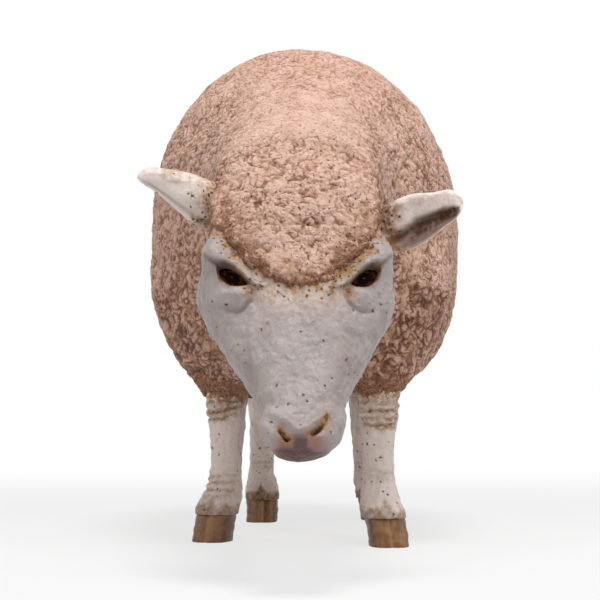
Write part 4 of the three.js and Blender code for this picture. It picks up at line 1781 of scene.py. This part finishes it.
@dataclass
class Shank:
    """Bare part of a leg: a profile carried up the leg, from inside the hoof to inside the wool."""

    leg: LegPlan
    low: float = 35.0  # height where it starts
    steps: int = 64

    def shape(self) -> Shape:
        """Rings round the leg, by height, pressed in at the folds and swollen at the joints.

        Returns:
            A closed shape with the skin's marks.
        """
        leg = self.leg
        stops = [(self.low, 2.2), (60, 2.0), (90, 2.0), (110, 3.0), (140, 1.8), (185, 1.8)]
        rings = Rings(leg, leg_rows(leg), graded(stops + [(leg.hem + 36, 4.0)]), self.steps)
        z, front, base = rings.z, rings.front, rings.base
        wander = 2.2 * over_grid(base, 17, 75) + 1.0 * over_grid(base, 8, 76)
        uneven = 0.95 + 0.55 * over_grid(base, 15, 77)
        marks = {name: np.zeros_like(z) for name in SKIN_MARKS}
        press = np.zeros_like(z)
        for fold in FOLDS[leg.name]:
            away = (front - fold.turn) / 70.0
            line = fold.height + fold.sag * away**2 + wander
            reach = (1 - eased(np.abs(away), 0.60, 1.2)) * uneven
            groove = bell(z, line, 1.3 * fold.width) * reach
            swollen = bell(z, line + 2.6 * fold.width, 1.6 * fold.width) * reach
            press += 1.75 * fold.depth * (0.8 * swollen - groove)
            dark = 0.24 * fold.depth * bell(z, line - 0.4, 0.9) * reach
            worn = 0.36 * fold.depth * bell(z, line - 1, 2.2 * fold.width) * reach
            heighten(marks, crease=dark, stain=np.minimum(worn, 0.60))
        sides = bell(np.abs(front), 92, 22) * eased(z, 70, 84) * (1 - eased(z, 128, 150))
        knee = bell(np.abs(front), 0, 55) * bell(z, 170 if leg.fore else 190, 18)
        knuckle = bell(np.abs(front), 36, 24) * bell(z, 52, 9)
        cleft = bell(front, 0, 11) * (1 - eased(z, 50, 64))
        spur = bell(np.abs(front), 150, 13) * bell(z, 66, 7)
        press += 1.8 * knee - 1.3 * sides + 1.5 * knuckle - 1.6 * cleft + 4.0 * spur
        rough = 2.3 * over_grid(base * np.array([1.0, 1.0, 0.5]), 17, 71) + 1.3 * over_grid(base, 8, 72)
        patchy = over_grid(base, 14, 73)
        top = 1 - eased(leg.hem + 2 - z + 16 * patchy, 0, 34)
        foot = 1 - eased(z - CORONET + (10 if leg.fore else 6) * patchy, 0, 13)
        band = 1 - eased(z - CORONET + 5 * patchy, 0, 7)
        # painted shade: the leg's sides, turned away from the front, are darkened
        aside = 0.22 * eased(np.abs(front), 48, 88)
        wedge = (1 - eased(np.abs(front) / 24 + (z - 44) / 18, 0.55, 1.15)) * (0.5 if leg.fore else 1.0)
        # painted light: the legs take a lighter warm white, most on the hind legs
        foot_stain, band_crease, warm_and_painted_light = (0.6, 0.32, 0.80) if leg.fore else (0.7, 0.6, 1.0)
        stains = [0.07 + marks["stain"], 0.85 * top, foot_stain * foot, 0.8 * wedge]
        marks["stain"] = np.clip(np.maximum.reduce(stains), 0, 1)
        marks["crease"] = np.maximum.reduce([marks["crease"], band_crease * band, 0.6 * wedge, aside])
        marks["warm_and_painted_light"] = np.full_like(z, warm_and_painted_light)
        marks["speck"] = 0.34 + 0.30 * bell(z, 110, 50)
        return grid_shape(rings.moved(press + rough), marks, 0.8)


# ---- Eyes and hooves ----


@dataclass
class Eyeball:
    """A glossy painted eye: an ellipsoid with a slight cornea, long along the slit."""

    plan: EyePlan
    halves: Triple = (21.5, 13.0, 13.0)
    sunk: float = 16.8  # how far its middle lies behind the line of the lids' corners
    drop: float = 2.2  # how far its middle lies below that line
    cornea: float = 0.6  # how far the cornea stands out

    def build(self, name: str, finish: Material) -> Object:
        """Rings from the back pole to the front: half sizes times sine and cosine, raised in the cornea.

        Args:
            name: the piece's name.
            finish: its material.

        Returns:
            The object.
        """
        polar = np.linspace(math.pi * 0.992, math.pi * 0.008, 46)
        angle = np.linspace(0, 2 * math.pi, 72, endpoint=False)
        v, turn = np.meshgrid(polar, angle, indexing="ij")
        turn = turn * self.plan.side.value
        way = np.stack([np.sin(v) * np.cos(turn), np.sin(v) * np.sin(turn), np.cos(v)], -1)
        place = way * np.array(self.halves)
        raised = bell(np.hypot(place[..., 0], place[..., 1]), 0, 8.5) * (v < math.pi / 2)
        place[..., 2] += self.cornea * raised
        marks = {"across": place[..., 0], "upward": place[..., 1]}
        middle = np.array([0.0, -self.drop, -self.sunk])
        world = HEAD.world(self.plan.axes.world((place + middle).reshape(-1, 3))).reshape(*v.shape, 3)
        return grid_shape(world, marks).piece(name, finish)


@dataclass
class Hoof:
    """A cloven hoof: a profile carried up from the sole, with a groove down its front and back."""

    leg: LegPlan
    steps: int = 112
    groove: float = 3.2  # how deep the cleft is, mm
    width: float = 6.5  # half width of the groove, degrees round the hoof

    def rows(self) -> list[Row]:
        """Sections by height, as the solid has them.

        Returns:
            The sections.
        """
        out = self.leg.side.value
        pastern, sole = self.leg.pastern, self.leg.sole
        return [
            [0, (sole + 1) * out, -28, 24.5, 30, 28, 2.4, 2.6],
            [16, sole * out, -25, 24.5, 29, 28, 2.4, 2.6],
            [CORONET, (pastern + 1) * out, -19, 25, 27, 26, 2.3, 2.4],
        ]

    def build(self, finish: Material) -> Object:
        """Rings round the hoof, with the rim of the sole rounded and the top drawn in under the pastern.

        Args:
            finish: the hoof paint.

        Returns:
            The object.
        """
        height = np.concatenate([[0.0, 0.35, 0.9, 1.7], np.linspace(3, 40, 30), [41.2, 42.2, 43.0]])
        rings = Rings(self.leg, self.rows(), height, self.steps)
        z, front, base = rings.z, rings.front, rings.base
        cut = bell(front, 0, self.width) + 0.8 * bell(180 - np.abs(front), 0, self.width * 1.4)
        rim = 1.4 * (1 - np.sqrt(1 - (1 - np.clip(z / 1.7, 0, 1)) ** 2))
        inward = self.groove * cut + rim + 2.6 * eased(z, 40.2, 43.0)
        bands = 0.32 * np.sin(z / 2.1 + 2.0 * over_grid(base, 30, 81)) * eased(z, 3, 9)
        wear = 0.5 * over_grid(base, 11, 82) + bands
        raised = 1.5 * eased(z, 30, 42) * over_grid(base, 9, 83)
        marks = {"cleft": np.clip(cut, 0, 1), "height": z / CORONET, "around": front / 180.0}
        shape = grid_shape(rings.moved(wear * eased(z, 0.5, 4) - inward, raised), marks)
        return shape.piece(f"{self.leg.name}_hoof_painted", finish)


# ---- Paints ----

Colour = Triple
EVEN = (1.0, 1.0, 1.0)  # no stretch
Socket = bpy.types.NodeSocket


@dataclass(frozen=True)
class Value:
    """What a node gives: a number, a colour, a normal or a shader. Numbers take part in sums."""

    graph: "Graph"
    socket: Socket

    def other(self, output: str) -> "Value":
        """Another output of the same node."""
        return Value(self.graph, self.socket.node.outputs[output])

    def __add__(self, other: "Value | float") -> "Value":
        """The sum."""
        return self.graph.maths("ADD", self, other)

    def __sub__(self, other: "Value | float") -> "Value":
        """The difference."""
        return self.graph.maths("SUBTRACT", self, other)

    def __mul__(self, other: "Value | float") -> "Value":
        """The product."""
        return self.graph.maths("MULTIPLY", self, other)


Given = Value | Colour | float


class Graph:
    """The nodes of a material or of the world."""

    def __init__(self, block: Material | bpy.types.World) -> None:
        """Empties the block's tree.

        Args:
            block: a new material or world.
        """
        block.use_nodes = True
        self.block, self.tree = block, block.node_tree
        self.tree.nodes.clear()

    @cached_property
    def place(self) -> Value:
        """The object's own coordinates, m."""
        return self.add("TexCoord", {}, "Object")

    def put(self, socket: Socket, value: Given) -> None:
        """Links a socket to a value, or sets its number or colour.

        Args:
            socket: the socket.
            value: what it is linked or set to.
        """
        if isinstance(value, Value):
            self.tree.links.new(value.socket, socket)
        elif isinstance(value, tuple) and len(socket.default_value) == 4:
            socket.default_value = (*value, 1.0)
        else:
            socket.default_value = value

    def add(
        self, kind: str, inputs: dict[str | int, Given], output: str | int = 0, **settings: str | bool
    ) -> Value:
        """Adds a node.

        Args:
            kind: its type, without the ShaderNode in front.
            inputs: what each input is linked or set to, by name or by place.
            output: which of its outputs is wanted.
            settings: its other settings.

        Returns:
            What that output gives.
        """
        node = self.tree.nodes.new(f"ShaderNode{kind}")
        for name, setting in settings.items():
            setattr(node, name, setting)
        for key, value in inputs.items():
            self.put(node.inputs[key], value)
        return Value(self, node.outputs[output])

    def show(self, shader: Value, kind: str = "OutputMaterial") -> None:
        """Joins a shader to the output."""
        self.put(self.tree.nodes.new(f"ShaderNode{kind}").inputs[0], shader)

    def moved(self, seed: float, **inputs: Colour) -> Value:
        """The object's coordinates offset by seed, and scaled or turned."""
        offset = (seed, seed * 0.7, seed * 0.3)
        return self.add("Mapping", {"Vector": self.place, "Location": offset, **inputs})

    def noise(self, size: float, detail: float, seed: float = 0.0, stretch: Colour = EVEN) -> Value:
        """Noise from 0 to 1, mostly 0.3 to 0.7, of features so many mm in size, drawn out by stretch."""
        place = self.moved(seed, Scale=tuple(1.0 / s for s in stretch))
        return self.add("TexNoise", {"Vector": place, "Scale": 1.0 / (size * MM), "Detail": detail}, "Fac")

    def dots(self, size: float, seed: float) -> tuple[Value, Value]:
        """Random cells: distance from the cell's point in cell widths, and a random number for the cell.

        Args:
            size: width of a cell, mm.
            seed: offset of the pattern.

        Returns:
            The distance and the number.
        """
        inputs = {"Vector": self.moved(seed, Rotation=(0.5, 0.8, 0.3)), "Scale": 1.0 / (size * MM)}
        far = self.add("TexVoronoi", inputs, "Distance")
        return far, self.add("SeparateColor", {0: far.other("Color")})

    def mark(self, name: str) -> Value:
        """A value that the mesh carries for each point."""
        return self.add("Attribute", {}, "Fac", attribute_name=name)

    def maths(self, kind: str, a: Given, b: Given = 0.0, clamp: bool = False) -> Value:
        """One sum of two numbers, by Blender's name for it, held between 0 and 1 if clamp is true."""
        return self.add("Math", {0: a, 1: b}, operation=kind, use_clamp=clamp)

    def fit(self, value: Value, low: float, high: float, start: float = 0.0, end: float = 1.0) -> Value:
        """Smooth step by a value: start where it is low or less, end where it is high or more."""
        inputs = {"Value": value, "From Min": low, "From Max": high, "To Min": start, "To Max": end}
        return self.add("MapRange", inputs, "Result", interpolation_type="SMOOTHSTEP")

    def patches(self, size: float, detail: float, seed: float, *step: float) -> Value:
        """Noise, put through the step of fit."""
        return self.fit(self.noise(size, detail, seed), *step)

    def blend(self, share: Value, first: Value | Colour, second: Colour) -> Value:
        """Blend of two colours, by the share of the second."""
        return self.add("Mix", {0: share, 6: first, 7: second}, 2, data_type="RGBA")

    def ramp(self, value: Value, stops: list[tuple[float, Colour]]) -> Value:
        """Colour by value.

        Args:
            value: the value.
            stops: value and colour, by rising value.

        Returns:
            The colour.
        """
        node = self.tree.nodes.new("ShaderNodeValToRGB")
        bar = node.color_ramp.elements
        while len(bar) < len(stops):
            bar.new(0.5)
        for element, (place, colour) in zip(bar, stops):
            element.position = place
            element.color = (*colour, 1.0)
        self.put(node.inputs[0], value)
        return Value(self, node.outputs[0])

    def bump(self, height: Value, depth: float, strength: float, under: Value | None = None) -> Value:
        """Relief too fine for the mesh: depth is its height in mm, and under the normal that it lies on."""
        inputs = {"Height": height, "Strength": strength, "Distance": depth * MM}
        return self.add("Bump", inputs if under is None else inputs | {"Normal": under})

    def finished(self, colour: Value, roughness: Value, normal: Value, **numbers: float) -> Material:
        """Joins everything to a Principled shader.

        Args:
            colour: base colour.
            roughness: roughness.
            normal: the normal.
            numbers: other sockets of the shader by name, with _ for a space.

        Returns:
            The material.
        """
        inputs = {"Base Color": colour, "Roughness": roughness, "Normal": normal}
        inputs |= {name.replace("_", " "): number for name, number in numbers.items()}
        self.show(self.add("BsdfPrincipled", inputs))
        return self.block


@dataclass(frozen=True)
class FleecePaint:
    """Matt flesh-pink paint over the wool, with brown left in its hollows and washed on along its edges."""

    high: Colour = (0.750, 0.500, 0.408)
    body: Colour = (0.650, 0.402, 0.308)
    low: Colour = (0.310, 0.145, 0.085)
    deep: Colour = (0.115, 0.045, 0.025)
    wash: Colour = (0.270, 0.118, 0.045)
    tan: Colour = (0.560, 0.330, 0.200)
    roughness: float = 0.62

    def made(self) -> Material:
        """Makes the material.

        The paint's colour goes by how deep it lies, and is darker on the underside as painted shade: the mark
        "hollow", roughened by noise. Tan clouds, the wash with its brown rim, flecks and dark spots lie over
        it.

        Returns:
            The material.
        """
        g = Graph(bpy.data.materials.new("painted_wool"))
        hollow_and_painted_shade, wash, back, crown = (g.mark(name) for name in ("hollow_and_painted_shade", "wash", "back", "crown"))
        grain, cloud = g.noise(2.0, 3.0), g.noise(48, 3.0, 3.0)
        depth = hollow_and_painted_shade + (grain - 0.5) * 0.50 + (cloud - 0.5) * 0.40 + back * 0.16
        depth = g.maths("SUBTRACT", depth, crown * 0.08, clamp=True)
        colour = g.ramp(depth, [(0.18, self.high), (0.42, self.body), (0.70, self.low), (0.95, self.deep)])
        colour = g.blend(g.patches(30, 4.0, 7.0, 0.50, 0.68) * 0.40, colour, self.tan)
        spill = g.maths("MULTIPLY", wash, g.patches(7, 3.0, 5.0, 0.30, 0.58), clamp=True)
        colour = g.blend(spill * 0.88, colour, self.wash)
        fleck = g.patches(2.6, 2.0, 9.0, 0.60, 0.66) * g.fit(cloud, 0.42, 0.60, 0.15, 1.0)
        colour = g.blend(fleck * 0.80, colour, self.low)
        rim = g.fit(wash, 0.55, 0.95) * g.patches(3.8, 3.0, 14.0, 0.44, 0.56)
        colour = g.blend(rim * 0.85, colour, self.low)
        colour = g.blend(g.patches(2.8, 2.0, 16.0, 0.56, 0.62) * rim, colour, self.deep)
        colour = g.blend(g.patches(3.6, 1.0, 12.0, 0.67, 0.71) * 0.9, colour, self.deep)
        crumple = g.maths("ABSOLUTE", g.noise(7.5, 4.0, 15.0, (1.0, 3.2, 1.0)) - 0.5)
        normal = g.bump(crumple, 9.0, 0.8)
        normal = g.bump(g.noise(3.4, 4.0, 1.0, (1.0, 2.8, 1.0)), 2.0, 0.8, normal)
        normal = g.bump(grain, 0.8, 0.9, normal)
        rough = g.fit(grain, 0.3, 0.7, self.roughness - 0.08, self.roughness + 0.12)
        return g.finished(colour, rough, normal, Specular_IOR_Level=0.25)


@dataclass(frozen=True)
class Pits:
    """A layer of small casting pits. Sizes are in mm, and a pit's radius is in cell widths."""

    cell: float
    seed: float
    radius: float
    crowded: bool  # true where they gather, and false for the few that lie all over

    def made(self, g: Graph, speck: Value) -> tuple[Value, Value]:
        """Makes the layer: a cell has a pit where its random number is under the share of cells with one.

        Args:
            g: the graph.
            speck: how pitted a place is.

        Returns:
            The pits and the halos round them, each 0 to 1.
        """
        share = g.fit(speck, 0.70, 1.0, 0.0, 0.75) if self.crowded else speck * 0.50
        far, chance = g.dots(self.cell, self.seed)
        chosen = g.maths("LESS_THAN", chance, share)
        far = far + (g.noise(self.cell * 0.22, 2.0, self.seed + 2.0) - 0.5) * 0.60
        pit, halo = (g.fit(far, self.radius, self.radius + wide, 1.0, 0.0) * chosen for wide in (0.05, 0.20))
        return pit, halo


@dataclass(frozen=True)
class WhitePaint:
    """Semi-gloss off-white paint, with brown in its folds, ochre stains, rust-brown pits and a pink nose."""

    white: Colour = (0.385, 0.331, 0.320)
    # lighter warm white: a little of it tints the paint at random, and the mark of that name lays it on as
    # painted light
    warm_and_painted_light: Colour = (0.925, 0.812, 0.748)
    ochre: Colour = (0.385, 0.192, 0.060)
    brown: Colour = (0.120, 0.048, 0.018)
    pink: Colour = (0.330, 0.150, 0.130)
    mauve_and_painted_shade: Colour = (0.100, 0.040, 0.037)
    dark: Colour = (0.030, 0.015, 0.010)
    roughness: float = 0.34
    pits: tuple[Pits, ...] = (
        Pits(7.5, 11.0, 0.11, False),
        Pits(11.0, 17.0, 0.10, False),
        Pits(5.0, 23.0, 0.22, True),
    )

    def made(self) -> Material:
        """Makes the material.

        Returns:
            The material.
        """
        g = Graph(bpy.data.materials.new("painted_white"))
        crease, stain, speck = (g.mark(name) for name in ("crease", "stain", "speck"))
        fine, broad = g.noise(5, 4.0), g.noise(38, 3.0, 2.0)
        colour = g.blend(g.fit(broad, 0.40, 0.68) * 0.16, self.white, self.warm_and_painted_light)
        # painted light: the legs and ears blend to the lighter warm white
        colour = g.blend(g.mark("warm_and_painted_light"), colour, self.warm_and_painted_light)
        colour = g.blend(g.mark("pink") * 0.92, colour, self.pink)
        # the nose's mauve, which also paints shade under the muzzle
        colour = g.blend(g.mark("mauve_and_painted_shade") * 0.95, colour, self.mauve_and_painted_shade)
        ragged = g.maths("MULTIPLY", stain, g.patches(6, 4.0, 4.0, 0.30, 0.62, 0.22, 1.4), clamp=True)
        colour = g.blend(ragged * 0.92, colour, self.ochre)
        colour = g.blend(g.fit(stain * g.noise(3.2, 3.0, 6.0), 0.40, 0.54) * 0.8, colour, self.brown)
        # brown in the folds, and painted shade under the brow, in the left ear's cup and down the legs' sides
        colour = g.blend(crease * g.fit(fine, 0.25, 0.6, 0.72, 1.0), colour, self.brown)
        height = fine
        for layer in self.pits:
            pit, halo = layer.made(g, speck)
            colour = g.blend(halo * 0.50, colour, self.ochre)
            colour = g.blend(pit * 0.95, colour, self.brown)
            height = height - pit
        # dark paint in the eye slits and nostrils, and painted shadow under the left ear's rolled rim
        colour = g.blend(g.mark("socket"), colour, self.dark)
        normal = g.bump(g.noise(15, 3.0, 7.0, (1.0, 1.0, 1.7)), 3.4, 1.0)
        normal = g.bump(g.noise(5.5, 3.0, 8.0, (1.0, 1.0, 1.8)), 2.1, 1.0, normal)
        normal = g.bump(height, 1.0, 1.0, normal)
        worn = g.maths("MAXIMUM", g.maths("MAXIMUM", stain, crease), broad)
        rough = g.fit(worn, 0.3, 0.8, self.roughness, self.roughness + 0.30)
        return g.finished(colour, rough, normal, Specular_IOR_Level=0.30)


@dataclass(frozen=True)
class EyePaint:
    """Gloss paint: a long black pupil in a dark brown iris, darkest at its rim."""

    iris: Colour = (0.085, 0.024, 0.011)
    streak: Colour = (0.150, 0.055, 0.022)
    rim: Colour = (0.012, 0.006, 0.004)
    pupil: Colour = (0.006, 0.002, 0.002)
    rays: float = 31.0  # how many streaks go round the pupil
    pupil_wide: float = 8.6  # half sizes of the pupil, mm
    pupil_high: float = 5.0

    def made(self) -> Material:
        """Makes the material, round the middle of the eye by its marks "across" and "upward", mm.

        Returns:
            The material.
        """
        g = Graph(bpy.data.materials.new("painted_eye"))
        across, upward = g.mark("across"), g.mark("upward")
        far = g.maths("SQRT", across * across + upward * upward)
        ray = g.maths("SINE", g.maths("ARCTAN2", upward, across) * self.rays + far * 0.5)
        streaks = g.fit(ray, -0.4, 1.0) * g.patches(2.2, 3.0, 0.0, 0.35, 0.65)
        colour = g.blend(streaks * 0.7, self.iris, self.streak)
        colour = g.blend(g.fit(far, 10.0, 15.0), colour, self.rim)
        colour = g.blend(g.patches(3.5, 3.0, 4.0, 0.42, 0.58), colour, self.rim)
        wide, high = across * (1.0 / self.pupil_wide), upward * (1.0 / self.pupil_high)
        colour = g.blend(g.fit(wide * wide + high * high, 0.75, 1.15, 1.0, 0.0), colour, self.pupil)
        normal = g.bump(g.noise(1.6, 2.0, 2.0), 0.10, 0.15)
        rough = g.patches(4, 2.0, 1.0, 0.3, 0.7, 0.03, 0.06)
        return g.finished(colour, rough, normal, Specular_IOR_Level=0.05, IOR=1.3)


@dataclass(frozen=True)
class HoofPaint:
    """Brushed brown paint with upright streaks, worn to ochre along the cleft and the coronet."""

    brown: Colour = (0.275, 0.118, 0.042)
    dark: Colour = (0.082, 0.034, 0.013)
    ochre: Colour = (0.420, 0.235, 0.105)
    roughness: float = 0.42

    def made(self) -> Material:
        """Makes the material, by the marks "height" up the hoof, "around" it, and "cleft".

        Returns:
            The material.
        """
        g = Graph(bpy.data.materials.new("painted_hoof"))
        height = g.mark("height")
        streak = g.noise(4.0, 3.0, 0.0, (1.0, 1.0, 14.0))
        blot = g.noise(14, 3.0, 3.0)
        colour = g.blend(g.fit(streak, 0.30, 0.72, 0.35, 1.0), self.dark, self.brown)
        colour = g.blend(g.fit(blot, 0.42, 0.62) * 0.55, colour, self.ochre)
        top = g.fit(height, 0.70, 1.0) * g.patches(5, 2.0, 5.0, 0.3, 0.6)
        colour = g.blend(top * 0.6, colour, self.dark)
        # painted shade: the hoof darkens the further round it is from its front
        turned = g.maths("ABSOLUTE", g.mark("around"))
        colour = g.blend(g.fit(turned, 0.10, 0.40, 0.0, 0.65), colour, self.dark)
        worn = g.mark("cleft") * g.fit(height, 0.75, 1.0, 1.0, 0.3)
        colour = g.blend(worn * 0.90, colour, self.ochre)
        normal = g.bump(streak, 0.6, 0.5)
        normal = g.bump(g.noise(2.0, 2.0, 8.0), 0.3, 0.4, normal)
        rough = g.fit(blot, 0.3, 0.7, self.roughness - 0.1, self.roughness + 0.12)
        return g.finished(colour, rough, normal, Specular_IOR_Level=0.4)


# ---- Stage ----


@dataclass(frozen=True)
class Softbox:
    """A square area lamp, with its place, target and size in metres."""

    name: str
    place: Colour
    target: Colour
    size: float
    watts: float

    def build(self) -> None:
        """Makes the lamp, turned to its target."""
        light = bpy.data.lights.new(self.name, "AREA")
        light.energy, light.size = self.watts, self.size
        lamp = placed(self.name, light)
        lamp.location = self.place
        lamp.rotation_euler = (Vector(self.target) - Vector(self.place)).to_track_quat("-Z", "Y").to_euler()


WHITE = (1.0, 1.0, 1.0)


@dataclass(frozen=True)
class Studio:
    """Pale floor, white surroundings, soft lamps and the camera, in metres.

    Attributes:
        eye: place of the camera, just above the floor.
        pitch: how far the camera is tilted up.
        lens: its focal length, mm.
        film: width of its film, mm.
        clip: nearest and furthest distance that it shows.
        surround: strength of the surroundings as a light.
        radius: radius of the floor.
        pale: colour of the floor.
        fade: distances from the middle between which the floor turns white to the camera.
        least_white: how white it is inside them.
        lamps: the lamps.
    """

    eye: Colour = (-0.01013, -1.676238, 0.141)
    pitch: float = math.atan(132.5 / 1280)
    lens: float = 76.8
    film: float = 36.0
    clip: tuple[float, float] = (0.02, 50.0)
    surround: float = 0.13
    radius: float = 6.0
    pale: Colour = (0.80, 0.80, 0.80)
    fade: tuple[float, float] = (0.4, 3.5)
    least_white: float = 0.70
    lamps: tuple[Softbox, ...] = (
        Softbox("lamp_above", (0.15, -0.80, 2.6), (0.0, -0.1, 0.4), 0.7, 39.0),
        Softbox("lamp_front_left", (1.0, -2.2, 1.9), (0.0, -0.1, 0.2), 0.5, 15.0),
        Softbox("lamp_front_right", (-0.9, -2.2, 1.9), (0.0, -0.1, 0.2), 0.5, 11.0),
        Softbox("lamp_left", (-2.6, -0.6, 1.0), (0.0, 0.0, 0.3), 1.4, 11.0),
        Softbox("lamp_right", (2.6, -0.6, 1.0), (0.0, 0.0, 0.3), 1.4, 12.0),
        Softbox("lamp_back", (0.0, 2.9, 1.3), (0.0, 0.2, 0.3), 1.6, 22.0),
    )

    def white_seen(self, g: Graph) -> Value:
        """1 for rays from the camera, mirrors and glass, and 0 for the rays that light the object.

        Args:
            g: the graph.

        Returns:
            The share of white.
        """
        camera = g.add("LightPath", {}, "Is Camera Ray")
        both = g.maths("MAXIMUM", camera, camera.other("Is Glossy Ray"))
        return g.maths("MAXIMUM", both, camera.other("Is Transmission Ray"))

    def surroundings(self) -> None:
        """White world, dimmer for the rays that light the object."""
        world = bpy.data.worlds.new("surroundings")
        g = Graph(world)
        dim, full = (g.add("Background", {"Color": WHITE, "Strength": s}) for s in (self.surround, 1.0))
        g.show(g.add("MixShader", {0: self.white_seen(g), 1: dim, 2: full}), "OutputWorld")
        bpy.context.scene.world = world

    def floor(self) -> None:
        """Round pale floor: it takes shadows near the sheep and turns plain white further off."""
        turn = np.linspace(0.0, 2.0 * math.pi, 96, endpoint=False)
        rim = np.stack([np.cos(turn), np.sin(turn), np.zeros_like(turn)], 1) * self.radius
        mesh = bpy.data.meshes.new("floor")
        mesh.from_pydata(rim.tolist(), [], [range(len(rim))])
        g = Graph(bpy.data.materials.new("pale_floor"))
        far = g.add("VectorMath", {0: g.place}, "Value", operation="LENGTH")
        share = g.fit(far, *self.fade, self.least_white) * self.white_seen(g)
        matt, bright = g.add("BsdfDiffuse", {"Color": self.pale}), g.add("Emission", {"Color": WHITE})
        g.show(g.add("MixShader", {0: share, 1: matt, 2: bright}))
        mesh.materials.append(g.block)
        made = placed("floor", mesh)

    def camera(self) -> None:
        """Camera just above the floor, tilted up a little at the sheep's lowered face."""
        data = bpy.data.cameras.new("camera")
        data.lens, data.sensor_width = self.lens, self.film
        data.clip_start, data.clip_end = self.clip
        camera = placed("camera", data)
        camera.location = self.eye
        camera.rotation_euler = (math.pi / 2.0 + self.pitch, 0.0, 0.0)
        bpy.context.scene.camera = camera

    def build(self) -> None:
        """Makes the whole stage."""
        self.surroundings()
        self.floor()
        for lamp in self.lamps:
            lamp.build()
        self.camera()
        bpy.context.scene.view_settings.view_transform = "Standard"


# ---- The sheep ----


def main() -> None:
    """Builds the sheep and its stage in order."""
    logging.basicConfig(level=logging.INFO, format="%(message)s")
    skin = SkinCasting(Skin(), Fleece()).build(WhitePaint().made())
    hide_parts("trunk", "neck", "crown", "face", "ear_left", "ear_right", "tail")
    for leg in LEGS:
        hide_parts(f"{leg.name}_upper", f"{leg.name}_shank")
    for wool in FleeceCrust(Fleece()).build(FleecePaint().made()):
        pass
    gloss = EyePaint().made()
    for plan in EYES:
        node = f"eye_{plan.side.name.lower()}"
        eye = Eyeball(plan).build(f"{node}_painted", gloss)
        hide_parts(node)
    horn = HoofPaint().made()
    for leg in LEGS:
        hoof = Hoof(leg).build(horn)
        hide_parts(f"{leg.name}_hoof")
    Studio().build()


if __name__ == "__main__":
    main()
